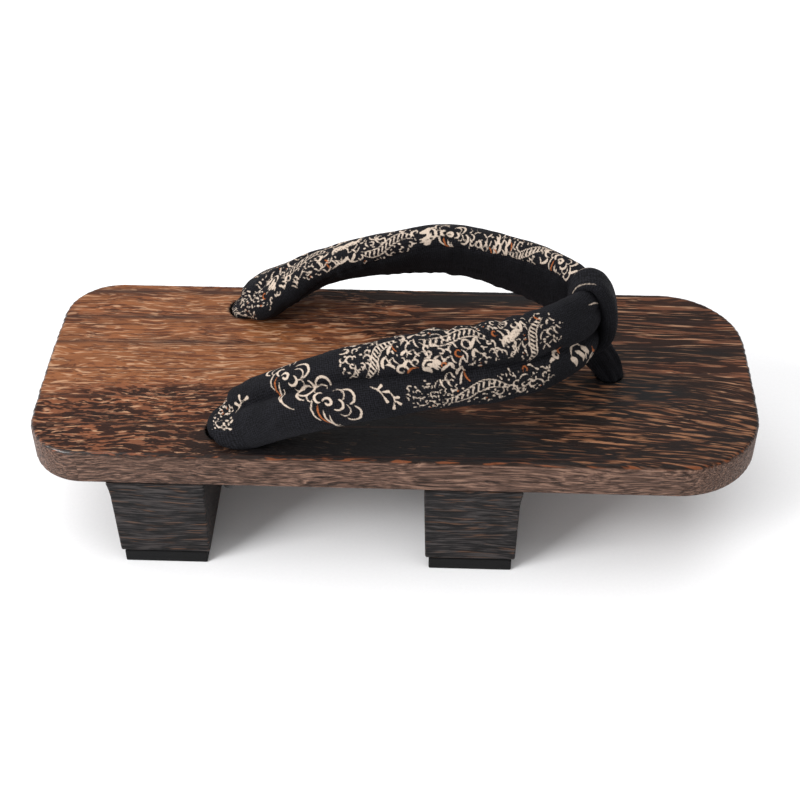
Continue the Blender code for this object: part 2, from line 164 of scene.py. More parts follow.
@dataclass(frozen=True)
class ScorchedBoardWood:
    """Light softwood, scorched and wire-brushed: the burnt soft grain lies as dark streaks between raised
    brown fibres, and a thin wax gives it a satin gloss. The streaks are drawn about twice as wide as the
    real grain, so that they still show."""

    light: tuple[tuple[float, str], ...] = (
        (0.0, "#7b4b2c"), (0.3, "#74442a"), (0.55, "#68402c"), (0.8, "#573a2a"), (1.0, "#382a22"),
    )
    dark: tuple[tuple[float, str], ...] = (
        (0.0, "#50291a"), (0.3, "#2e150a"), (0.62, "#1d0e08"), (0.85, "#170e0b"), (1.0, "#121011"),
    )
    pale: str = "#ac8466"
    streak: str = "#8a5f43"
    dull_streak: str = "#4b2b1b"
    joint: str = "#33201a"
    side: tuple[tuple[float, str], ...] = (
        (0.36, "#281b15"), (0.46, "#4c382e"), (0.55, "#654c41"), (0.66, "#8a6c5b"),
    )
    edge_char: str = "#1b1310"
    worn: str = "#7d4629"
    burnt_rim: str = "#0b0807"
    strip_width: float = 15.4
    strip_start: float = -0.9
    # Rows (-8, -41) and (28, -44), under and before the near strap, and row (12, 49), by the far strap, are painted
    # strap shadow as well as scorch.
    scorches_and_strap_shade: tuple[ScorchAndStrapShade, ...] = (
        ScorchAndStrapShade(-72, -45, 96, 34, 0.46, 0.12),
        ScorchAndStrapShade(-8, -41, 52, 22, 0.55, 0.30),
        ScorchAndStrapShade(28, -44, 44, 16, 0.25, 0.35),
        ScorchAndStrapShade(90, -34, 58, 32, 0.26, 0.45),
        ScorchAndStrapShade(78, -12, 26, 12, 0.30, 0.55),
        ScorchAndStrapShade(12, 49, 50, 11, 0.60, 0.30),
        ScorchAndStrapShade(0, 25, 46, 9, 0.26, 0.50),
        ScorchAndStrapShade(98, 12, 34, 5, 0.30, 0.50),
    )

    def material(self) -> bpy.types.Material:
        """Builds the wood of the board."""
        g = Graph("scorched_brushed_board_wood")
        place = g.add("TexCoord", out="Object")
        mm = g.add("VectorMath", {0: place, 3: 1000.0}, operation="SCALE")
        x, y, z = (g.add("SeparateXYZ", (mm,), out=i) for i in range(3))

        # The grain leans towards the near side at the toes and its streaks grow longer there
        past = [g.add("Math", (x, start), operation="ADD") for start in (-30.0, -10.0)]
        ahead, longer = (g.add("Math", (way, 0.0), operation="MAXIMUM") for way in past)
        lean = g.add("Math", (ahead, ahead), operation="MULTIPLY")
        near_side = g.add("MapRange", (y, 12.0, -22.0, 0.0, 0.0011), interpolation_type="SMOOTHSTEP")
        grain_y = g.add("Math", (lean, near_side, y), operation="MULTIPLY_ADD")
        grain_x = g.add("Math", (longer, -0.52, x), operation="MULTIPLY_ADD")
        laid = g.add("CombineXYZ", (grain_x, grain_y, z))

        strip = g.add("Math", (x, -0.017, y), operation="MULTIPLY_ADD")
        strip = g.add("Math", (strip, self.strip_start), operation="SUBTRACT")
        strip = g.add("Math", (strip, self.strip_width), operation="DIVIDE")
        number = g.add("Math", (strip,), operation="FLOOR")
        chance = g.add("TexWhiteNoise", {"W": number}, out="Color", noise_dimensions="1D")
        shift = g.add("VectorMath", (chance, (90.0, 7.0, 31.0)), operation="MULTIPLY")
        own = g.add("VectorMath", (laid, shift), operation="ADD")
        sway = g.grain(own, 60, 20, 1.5, out="Color")
        bent = g.add("VectorMath", (sway, (0.0, 13.0, 13.0), own), operation="MULTIPLY_ADD")
        wiry = g.grain(own, 13, 6, 1.0, out="Color")
        bent = g.add("VectorMath", (wiry, (0.0, 2.8, 2.8), bent), operation="MULTIPLY_ADD")

        far_half = g.add("MapRange", (y, -6.0, 7.0), interpolation_type="SMOOTHSTEP")
        short, long = g.grain(bent, 7.0, 1.15, 2.5, 0.62), g.grain(bent, 18.0, 1.15, 2.5, 0.6)
        flecks = g.add("Mix", {0: far_half, 2: short, 3: long}, data_type="FLOAT")
        fine = g.grain(bent, 4.5, 0.5, 1.5, 0.55)
        broad = g.grain(bent, 30.0, 4.5, 2.0, 0.55)
        cloudy = g.grain(bent, 24.0, 11.0, 2.0, 0.55)
        glints = g.grain(bent, 8.0, 0.85, 1.5, 0.55)
        streaks = g.grain(bent, 6.5, 1.0, 1.0)

        burnt = g.add("MapRange", (cloudy, 0.3, 0.72, -0.14, 0.18))
        own_burn = g.add("MapRange", (chance, 0.0, 1.0, -0.07, 0.08))
        burnt = g.add("Math", (burnt, own_burn), operation="ADD")
        toes = g.add("MapRange", (x, -25.0, 75.0, 0.0, 0.46), interpolation_type="SMOOTHSTEP")
        burnt = g.add("Math", (burnt, toes), operation="ADD")
        # Each patch raises the burn level; by the straps this darkening is painted strap shadow.
        for spot in self.scorches_and_strap_shade:
            offset = (-spot.x / spot.half_length, -spot.y / spot.half_width, 0.0)
            scale = (1 / spot.half_length, 1 / spot.half_width, 0.0)
            local = g.add("VectorMath", (mm, scale, offset), operation="MULTIPLY_ADD")
            reach = g.add("VectorMath", (local,), out="Value", operation="LENGTH")
            reach = g.add("Math", (flecks, -0.5, reach), operation="MULTIPLY_ADD")
            near = g.add(
                "MapRange", (reach, 0.75 + spot.soft, 0.75 - spot.soft, 0.0, spot.strength),
                interpolation_type="SMOOTHSTEP",
            )
            burnt = g.add("Math", (burnt, near), operation="ADD")

        tone = g.add("ValToRGB", (burnt,), stops=self.light)
        uneven = g.add("MapRange", (broad, 0.3, 0.7, 0.78, 1.2))
        tone = g.add("VectorMath", {0: tone, 3: uneven}, operation="SCALE")
        glint = g.add("MapRange", (glints, 0.54, 0.64))
        bright = g.add("MapRange", (burnt, 0.4, 1.05, 0.85, 0.06))
        glint = g.add("Math", (glint, bright), operation="MULTIPLY")
        tone = g.add("Mix", {0: glint, 6: tone, 7: linear(self.pale)}, out=2, data_type="RGBA")
        mixed = g.add("Math", (fine, 0.32, flecks), operation="MULTIPLY_ADD")
        edge = g.add("MapRange", (burnt, 0.0, 1.0, 0.61, 0.84))
        low = g.add("Math", (edge, 0.06), operation="SUBTRACT")
        dark = g.add("MapRange", (mixed, edge, low), interpolation_type="SMOOTHSTEP")
        depth = g.add("MapRange", (burnt, 0.0, 0.4, 0.75, 1.0))
        dark = g.add("Math", (dark, depth), operation="MULTIPLY")
        ink = g.add("ValToRGB", (burnt,), stops=self.dark)
        top = g.add("Mix", {0: dark, 6: tone, 7: ink}, out=2, data_type="RGBA")

        # Long bare fibres between the burnt ones, at the near side of the toes
        bare = g.add("MapRange", (streaks, 0.53, 0.61))
        to_toes = g.add("MapRange", (x, 36.0, 60.0), interpolation_type="SMOOTHSTEP")
        to_near = g.add("MapRange", (y, 6.0, -8.0), interpolation_type="SMOOTHSTEP")
        thick = g.add("MapRange", (broad, 0.38, 0.56, 0.25, 1.0))
        for part in (to_toes, to_near, thick):
            bare = g.add("Math", (bare, part), operation="MULTIPLY")
        warm = g.add("MapRange", (flecks, 0.42, 0.56))
        fibre = g.add("Mix", {0: warm, 6: linear(self.dull_streak), 7: linear(self.streak)}, out=2, data_type="RGBA")
        top = g.add("Mix", {0: bare, 6: top, 7: fibre}, out=2, data_type="RGBA")

        within = g.add("Math", (strip,), operation="FRACT")
        within = g.add("Math", (within, 0.5), operation="SUBTRACT")
        within = g.add("Math", (within,), operation="ABSOLUTE")
        to_joint = g.add("Math", (within, -self.strip_width, self.strip_width / 2), operation="MULTIPLY_ADD")
        line = g.add("MapRange", (to_joint, 0.2, 0.55, 0.6, 0.0))
        band = g.add("MapRange", (to_joint, 0.4, 2.6, 0.85, 0.0))
        at_heel = g.add("MapRange", (x, -30.0, -60.0))
        at_far = g.add("MapRange", (y, 4.0, 11.0))
        patchy = g.add("MapRange", (broad, 0.6, 0.42, 0.5, 1.0))
        for part in (at_heel, at_far, patchy):
            band = g.add("Math", (band, part), operation="MULTIPLY")
        line = g.add("Math", (line, band), operation="MAXIMUM")
        top = g.add("Mix", {0: line, 6: top, 7: linear(self.joint)}, out=2, data_type="RGBA")

        side_tone = g.add("ValToRGB", (g.grain(bent, 6.5, 0.6, 3.0, 0.62),), stops=self.side)
        is_top = g.add("MapRange", (z, BOARD_TOP - 0.9, BOARD_TOP - 0.25))
        colour = g.add("Mix", {0: is_top, 6: side_tone, 7: top}, out=2, data_type="RGBA")
        below = g.add("MapRange", (z, BOARD_TOP - 1.4, BOARD_TOP - 0.8))
        above = g.add("MapRange", (z, BOARD_TOP - 0.01, BOARD_TOP - 0.2))
        rounding = g.add("Math", (below, above), operation="MULTIPLY")
        charred = g.add("MapRange", (mixed, 0.80, 0.62, 0.1, 0.92))
        charred = g.add("Math", (charred, rounding), operation="MULTIPLY")
        colour = g.add("Mix", {0: charred, 6: colour, 7: linear(self.edge_char)}, out=2, data_type="RGBA")
        worn = g.add("MapRange", (streaks, 0.54, 0.62, 0.0, 0.75))
        near_edge = g.add("MapRange", (y, -34.0, -42.0))
        for part in (rounding, near_edge):
            worn = g.add("Math", (worn, part), operation="MULTIPLY")
        colour = g.add("Mix", {0: worn, 6: colour, 7: linear(self.worn)}, out=2, data_type="RGBA")

        flat = g.add("VectorMath", (mm, (1.0, 1.0, 0.0)), operation="MULTIPLY")
        rim = None
        for (hole_x, hole_y), radius in zip(HOLES, HOLE_RADII):
            apart = g.add("VectorMath", (flat, (hole_x, hole_y, 0.0)), out="Value", operation="DISTANCE")
            apart = g.add("Math", (apart, radius), operation="SUBTRACT")
            rim = apart if rim is None else g.add("Math", (rim, apart), operation="MINIMUM")
        rim = g.add("Math", (fine, -4.0, rim), operation="MULTIPLY_ADD")
        rim = g.add("MapRange", (rim, -2.0, -0.7, 0.96, 0.0))
        colour = g.add("Mix", {0: rim, 6: colour, 7: linear(self.burnt_rim)}, out=2, data_type="RGBA")

        relief = g.add("Math", (dark, -0.2, mixed), operation="MULTIPLY_ADD")
        bump = g.add("Bump", {"Height": relief, "Distance": 0.0007, "Strength": 1.0})
        gloss = g.add("MapRange", (dark, 0.0, 1.0, 0.46, 0.56))
        gloss = g.add("Math", (rounding, -0.2, gloss), operation="MULTIPLY_ADD")
        at_corner = g.add("MapRange", (x, -80.0, -100.0, 0.02, 0.6))
        polish = g.add("Math", (rounding, at_corner), operation="MULTIPLY")
        polish = g.add("Math", (polish, 0.02), operation="MAXIMUM")
        return g.finish(
            Base_Color=colour,
            Roughness=gloss,
            Normal=bump,
            Coat_Weight=polish,
            Coat_Roughness=0.22,
            Specular_IOR_Level=0.14,
        )


@dataclass(frozen=True)
class ScorchedToothWood:
    """The same wood burnt nearly through and brushed: charcoal with a few brown fibres left."""

    char: str = "#1d1b1c"
    ash: str = "#413c3b"
    fibre: str = "#644837"

    def material(self) -> bpy.types.Material:
        """Builds the wood of the teeth."""
        g = Graph("charred_tooth_wood")
        place = g.add("TexCoord", out="Object")
        mm = g.add("VectorMath", {0: place, 3: 1000.0}, operation="SCALE")
        sway = g.grain(mm, 40, 14, 1.5, out="Color")
        bent = g.add("VectorMath", (sway, (0.0, 6.0, 6.0), mm), operation="MULTIPLY_ADD")
        grain = g.grain(bent, 13, 0.8, 3.0, 0.6)
        left = g.grain(bent, 12, 0.9, 1.0)
        tone = g.add("ValToRGB", (grain,), stops=((0.36, "#0e0d0d"), (0.49, self.char), (0.64, self.ash)))
        shows = g.add("MapRange", (left, 0.60, 0.72, 0.0, 0.65))
        colour = g.add("Mix", {0: shows, 6: tone, 7: linear(self.fibre)}, out=2, data_type="RGBA")
        bump = g.add("Bump", {"Height": grain, "Distance": 0.0006, "Strength": 0.9})
        return g.finish(Base_Color=colour, Roughness=0.56, Normal=bump, Specular_IOR_Level=0.14)


@dataclass(frozen=True)
class SheetRubber:
    """Black sheet rubber, cut to size: matt, with a faint moulded grain."""

    black: str = "#09090a"

    def material(self) -> bpy.types.Material:
        """Builds the rubber of the tips."""
        g = Graph("cut_sheet_rubber")
        place = g.add("TexCoord", out="Object")
        grain = g.add("TexNoise", {"Vector": place, "Scale": 1400.0, "Detail": 2.0})
        patch = g.add("TexNoise", {"Vector": place, "Scale": 90.0, "Detail": 2.0})
        tone = g.add("ValToRGB", (patch,), stops=((0.35, self.black), (0.7, "#0f0f11")))
        bump = g.add("Bump", {"Height": grain, "Distance": 0.0002, "Strength": 0.6})
        return g.finish(Base_Color=tone, Roughness=0.7, Normal=bump, Specular_IOR_Level=0.2)


@dataclass(frozen=True)
class CottonCloth:
    """Plain-woven black cotton. Its threads are drawn 0.75 mm apart, about twice the real pitch, so that
    they still show in the render. Where the mesh carries a print, it is screen-printed cream and rust,
    and the threads break its edges."""

    black: str = "#202025"
    dark_fibre_and_hollow_shade: str = "#030304"
    cream: str = "#cdbbaa"
    rust: str = "#a35d33"
    pitch: float = 0.75

    def material(self) -> bpy.types.Material:
        """Builds the cloth, which reads the thread directions from the map named cloth, in millimetres."""
        g = Graph("printed_black_cotton")
        cloth = g.add("UVMap", out="UV", uv_map="cloth")
        along, across = (g.add("SeparateXYZ", (cloth,), out=i) for i in range(2))
        threads = []
        for way in (along, across):
            turn = g.add("Math", (way, math.pi / self.pitch), operation="MULTIPLY")
            threads.append(g.add("Math", (turn,), operation="SINE"))
        crossed = g.add("Math", (threads[0], threads[1]), operation="MULTIPLY")
        over = g.add("MapRange", (crossed, -0.6, 0.6))
        squares = [g.add("Math", (t, 2.0), operation="POWER") for t in threads]
        weave = g.add("Mix", {0: over, 2: squares[0], 3: squares[1]}, data_type="FLOAT")
        fuzz = g.add("TexNoise", {"Vector": cloth, "Scale": 1.5, "Detail": 3.0, "Roughness": 0.8})
        worn = g.add("TexNoise", {"Vector": cloth, "Scale": 0.12, "Detail": 3.0})
        soft_weave = g.add("Math", (weave, 0.45), operation="MULTIPLY")
        rough_weave = g.add("Math", (fuzz, 1.7, soft_weave), operation="MULTIPLY_ADD")
        share = g.add("MapRange", (rough_weave, 0.7, 1.5))
        # Low fibre noise and low weave go to the darkest black: fibre tone, and painted shade in the hollows where
        # the threads dip.
        tone = g.add("ValToRGB", (share,), stops=((0.15, self.dark_fibre_and_hollow_shade), (0.95, self.black)))
        pale = g.add("MapRange", (worn, 0.35, 0.7, 0.85, 1.2))
        tone = g.add("VectorMath", {0: tone, 3: pale}, operation="SCALE")
        shade = g.add("MapRange", (rough_weave, 0.5, 1.6, 0.7, 1.1))
        ragged = g.add("Math", (fuzz, 0.55, -0.275), operation="MULTIPLY_ADD")
        for ink, layer in ((self.cream, Ink.CREAM), (self.rust, Ink.RUST)):
            inside = g.add("Attribute", out="Fac", attribute_name=layer.value)
            inside = g.add("Math", (inside, ragged), operation="ADD")
            covers = g.add("MapRange", (inside, -0.06, 0.16, 0.0, 0.94))
            dyed = g.add("VectorMath", {0: linear(ink)[:3], 3: shade}, operation="SCALE")
            tone = g.add("Mix", {0: covers, 6: tone, 7: dyed}, out=2, data_type="RGBA")
        # Darker on the lining side, towards the foot, by a factor of 0.72: painted shade on the strap's underside.
        plain = g.add("Attribute", out="Fac", attribute_name="lining")
        plain = g.add("MapRange", (plain, 0.0, 1.0, 1.0, 0.72))
        tone = g.add("VectorMath", {0: tone, 3: plain}, operation="SCALE")
        bump = g.add("Bump", {"Height": rough_weave, "Distance": 0.00016, "Strength": 0.8})
        return g.finish(
            Base_Color=tone,
            Roughness=0.88,
            Normal=bump,
            Specular_IOR_Level=0.12,
            Sheen_Weight=0.03,
            Sheen_Roughness=0.45,
            Sheen_Tint=linear("#9a9aa6"),
        )


@dataclass(frozen=True)
class TwistedCord:
    """Black cotton cord, laid in three strands."""

    black: str = "#232122"
    lay: float = 2.6

    def material(self) -> bpy.types.Material:
        """Builds the cord, whose strands run round it by the map named cloth, in millimetres."""
        g = Graph("laid_cotton_cord")
        cloth = g.add("UVMap", out="UV", uv_map="cloth")
        strands = g.add(
            "TexWave", {"Vector": cloth, "Scale": 2 / self.lay, "Distortion": 0.8},
            out="Fac", wave_type="BANDS", bands_direction="DIAGONAL",
        )
        fuzz = g.add("TexNoise", {"Vector": cloth, "Scale": 3.0, "Detail": 3.0})
        height = g.add("Math", (fuzz, 0.4, strands), operation="MULTIPLY_ADD")
        # Darker in the grooves between the strands: painted shade, mixed with fibre noise.
        tone = g.add("ValToRGB", (height,), stops=((0.2, "#0f0e0f"), (1.0, self.black)))
        bump = g.add("Bump", {"Height": height, "Distance": 0.0005, "Strength": 0.9})
        return g.finish(Base_Color=tone, Roughness=0.85, Normal=bump, Sheen_Weight=0.2, Sheen_Roughness=0.5)


@dataclass(frozen=True)
class PaperFloor:
    """White photographer's paper, matt and even."""

    white: str = "#f4f4f5"

    def material(self) -> bpy.types.Material:
        """Builds the floor's finish."""
        g = Graph("matt_white_paper")
        place = g.add("TexCoord", out="Object")
        grain = g.add("TexNoise", {"Vector": place, "Scale": 900.0, "Detail": 1.0})
        tone = g.add("ValToRGB", (grain,), stops=((0.2, "#f1f1f2"), (0.8, self.white)))
        return g.finish(Base_Color=tone, Roughness=0.9, Specular_IOR_Level=0.1)


def new_object(name: str, data: bpy.types.ID) -> bpy.types.Object:
    """A new object of the scene with that data."""
    made = bpy.data.objects.new(name, data)
    bpy.context.scene.collection.objects.link(made)
    return made


def smooth_rows(keys: np.ndarray, rows: np.ndarray, wanted: np.ndarray) -> np.ndarray:
    """Reads rows of numbers between given ones, on a smooth curve that never overshoots them.

    Args:
        keys: Where each row stands, rising.
        rows: The rows of numbers.
        wanted: Where rows are to be read.

    Returns:
        One row for each wanted place.
    """
    spans = np.diff(keys)[:, None]
    rises = np.diff(rows, axis=0) / spans
    before, after = rises[:-1], rises[1:]
    pull_before = 2 * spans[1:] + spans[:-1]
    pull_after = spans[1:] + 2 * spans[:-1]
    turns = before * after <= 0
    safe_before = np.where(turns, 1.0, before)
    safe_after = np.where(turns, 1.0, after)
    slopes = np.zeros_like(rows)
    slopes[1:-1] = (pull_before + pull_after) / (pull_before / safe_before + pull_after / safe_after)
    slopes[1:-1][turns] = 0.0
    i = np.clip(np.searchsorted(keys, wanted) - 1, 0, len(keys) - 2)
    span = (keys[i + 1] - keys[i])[:, None]
    t = (wanted - keys[i])[:, None] / span
    return (
        (2 * t**3 - 3 * t**2 + 1) * rows[i]
        + (t**3 - 2 * t**2 + t) * span * slopes[i]
        + (3 * t**2 - 2 * t**3) * rows[i + 1]
        + (t**3 - t**2) * span * slopes[i + 1]
    )


def along_keys(points: np.ndarray) -> np.ndarray:
    """The length from the first of a line of points to each of them."""
    steps = np.linalg.norm(np.diff(points, axis=0), axis=1)
    return np.concatenate(([0.0], np.cumsum(steps)))


def even_stations(rows: np.ndarray, count: int) -> np.ndarray:
    """Rows that begin with a place, read again at that many equal steps of the way along them."""
    keys = along_keys(rows[:, :3])
    return smooth_rows(keys, rows, np.linspace(0.0, keys[-1], count))


def normalised(vectors: np.ndarray) -> np.ndarray:
    """Vectors of length 1 in the same directions."""
    return vectors / np.maximum(np.linalg.norm(vectors, axis=-1, keepdims=True), 1e-9)


def round_turns(steps: int) -> np.ndarray:
    """Even angles once round, the last one left out."""
    return np.linspace(0.0, math.tau, steps + 1)[:-1]


def superellipse(turns: np.ndarray, fullness: float) -> tuple[np.ndarray, np.ndarray]:
    """A padded section of half sizes 1.

    Args:
        turns: Angles round it.
        fullness: 2 for an ellipse, and more for a squarer section.

    Returns:
        The points' places across and out.
    """
    power = 2 / fullness
    across = np.sign(np.cos(turns)) * np.abs(np.cos(turns)) ** power
    out = np.sign(np.sin(turns)) * np.abs(np.sin(turns)) ** power
    return across, out


def ripple(along: np.ndarray, across: np.ndarray, length: float, seed: int) -> np.ndarray:
    """Smooth unevenness from -1 to 1, as a sum of waves in seeded directions.

    Args:
        along: Places along the cloth in millimetres.
        across: Places across it.
        length: The main wavelength in millimetres.
        seed: Picks the waves.

    Returns:
        The unevenness at each place.
    """
    draw = np.random.default_rng(seed)
    total = np.zeros(np.broadcast(along, across).shape)
    for _ in range(9):
        heading, phase, stretch = draw.uniform(0, math.tau), draw.uniform(0, math.tau), draw.uniform(0.6, 1.5)
        wave = (along * math.cos(heading) + across * math.sin(heading)) * math.tau / (length * stretch)
        total = total + np.sin(wave + phase)
    return total / 5.0


def grid_piece(
    name: str,
    rings: np.ndarray,
    material: bpy.types.Material,
    cloth: np.ndarray,
    loop: bool = False,
) -> bpy.types.Object:
    """Makes a smooth closed tube through rings of points.

    Args:
        name: The piece's name.
        rings: Points in millimetres, as rings by steps by 3.
        material: Its finish.
        cloth: The map in millimetres at each point, as rings + 1 by steps + 1 by 2 where it closes.
        loop: Whether the last ring joins the first; otherwise both ends are capped.

    Returns:
        The new object.
    """
    count, steps = rings.shape[:2]
    spans = count if loop else count - 1
    ring, step = np.meshgrid(np.arange(spans), np.arange(steps), indexing="ij")
    after, beside = (ring + 1) % count, (step + 1) % steps
    points = ((ring, step), (ring, beside), (after, beside), (after, step))
    polygons = np.stack([r * steps + s for r, s in points], -1).reshape(-1, 4).tolist()
    corners = ((ring, step), (ring, step + 1), (ring + 1, step + 1), (ring + 1, step))
    uv = np.stack([cloth[corner] for corner in corners], 2).reshape(-1, 2)
    if not loop:
        polygons.append(list(range(steps))[::-1])
        polygons.append(list(range((count - 1) * steps, count * steps)))
        uv = np.concatenate([uv, cloth[0, :steps][::-1], cloth[count - 1, :steps]])
    mesh = bpy.data.meshes.new(name)
    mesh.from_pydata((rings.reshape(-1, 3) * MM).tolist(), [], polygons)
    layer = mesh.uv_layers.new(name="cloth")
    layer.data.foreach_set("uv", uv.astype(np.float32).ravel())
    mesh.materials.append(material)
    mesh.shade_smooth()
    shape = bmesh.new()
    shape.from_mesh(mesh)
    bmesh.ops.recalc_face_normals(shape, faces=shape.faces)
    shape.to_mesh(mesh)
    shape.free()
    return new_object(name, mesh)


def mark(mesh: bpy.types.Mesh, name: str, values: np.ndarray) -> None:
    """Stores one number for each point of a mesh, under the name that its finish reads."""
    layer = mesh.attributes.new(name, "FLOAT", "POINT")
    layer.data.foreach_set("value", values.astype(np.float32).ravel())


class Ink(Enum):
    """The print's two inks."""

    CREAM = "print_cream"
    RUST = "print_rust"


class Motif(Enum):
    """The print's traditional figures, and what fills its stretches."""

    CLOUD = "cloud scroll"
    WAVES = "nested wave arcs"
    DROPS = "thick drops"
    SPRIG = "sprig of three buds"
    CURL = "curl with a tail"
    BAND = "waving ribbon"
    SCALES = "rows of scales"
    TONGUES = "tongues of flame"
    CURLS = "small curls"


class Stroke(NamedTuple):
    """One brush stroke, as points and the brush's width at each, in millimetres."""

    points: np.ndarray
    widths: np.ndarray
    ink: Ink


class Placed(NamedTuple):
    """A figure of the print and where it lies on the flat cloth, in millimetres and degrees."""

    motif: Motif
    along: float
    across: float
    size: float
    turn: float = 0.0
    seed: int = 0


class Patch(NamedTuple):
    """A rounded stretch of the flat cloth that small figures fill, in millimetres."""

    motif: Motif
    first: float
    last: float
    low: float
    high: float
    seed: int = 0


def brushed(points: np.ndarray, width: float, ink: Ink = Ink.CREAM, tip: float = 0.18, lean: float = 0.5) -> Stroke:
    """A stroke that swells and tapers.

    Args:
        points: Its points.
        width: Its greatest width.
        ink: Its ink.
        tip: The share of the width at both tips.
        lean: Where along it the stroke is widest, from 0 to 1.

    Returns:
        The stroke.
    """
    t = np.linspace(0.0, 1.0, len(points))
    swell = np.where(t < lean, t / max(lean, 1e-6), (1 - t) / max(1 - lean, 1e-6))
    return Stroke(points, width * (tip + (1 - tip) * np.sin(np.clip(swell, 0, 1) * math.pi / 2) ** 0.8), ink)


def arc(
    x: float, y: float, radius: float, start: float, sweep: float, end_share: float = 1.0, steps: int = 14
) -> np.ndarray:
    """Points on an arc, or on a spiral whose radius shrinks.

    Args:
        x: The centre's first coordinate.
        y: The centre's second coordinate.
        radius: The radius at the start.
        start: The first angle in degrees.
        sweep: How far it turns in degrees.
        end_share: The last radius as a share of the first.
        steps: How many points.

    Returns:
        The points.
    """
    t = np.linspace(0.0, 1.0, steps)
    angle = np.radians(start + sweep * t)
    reach = radius * (1 + (end_share - 1) * t)
    return np.stack([x + reach * np.cos(angle), y + reach * np.sin(angle)], 1)


def bent_line(start: tuple[float, float], end: tuple[float, float], bow: float, steps: int = 10) -> np.ndarray:
    """Points on a shallow curve.

    Args:
        start: Its first point.
        end: Its last point.
        bow: How far its middle stands off, as a share of its length.
        steps: How many points.

    Returns:
        The points.
    """
    a, b = np.array(start, float), np.array(end, float)
    t = np.linspace(0.0, 1.0, steps)[:, None]
    side = np.array([-(b - a)[1], (b - a)[0]])
    return a + (b - a) * t + side * bow * 4 * t * (1 - t)


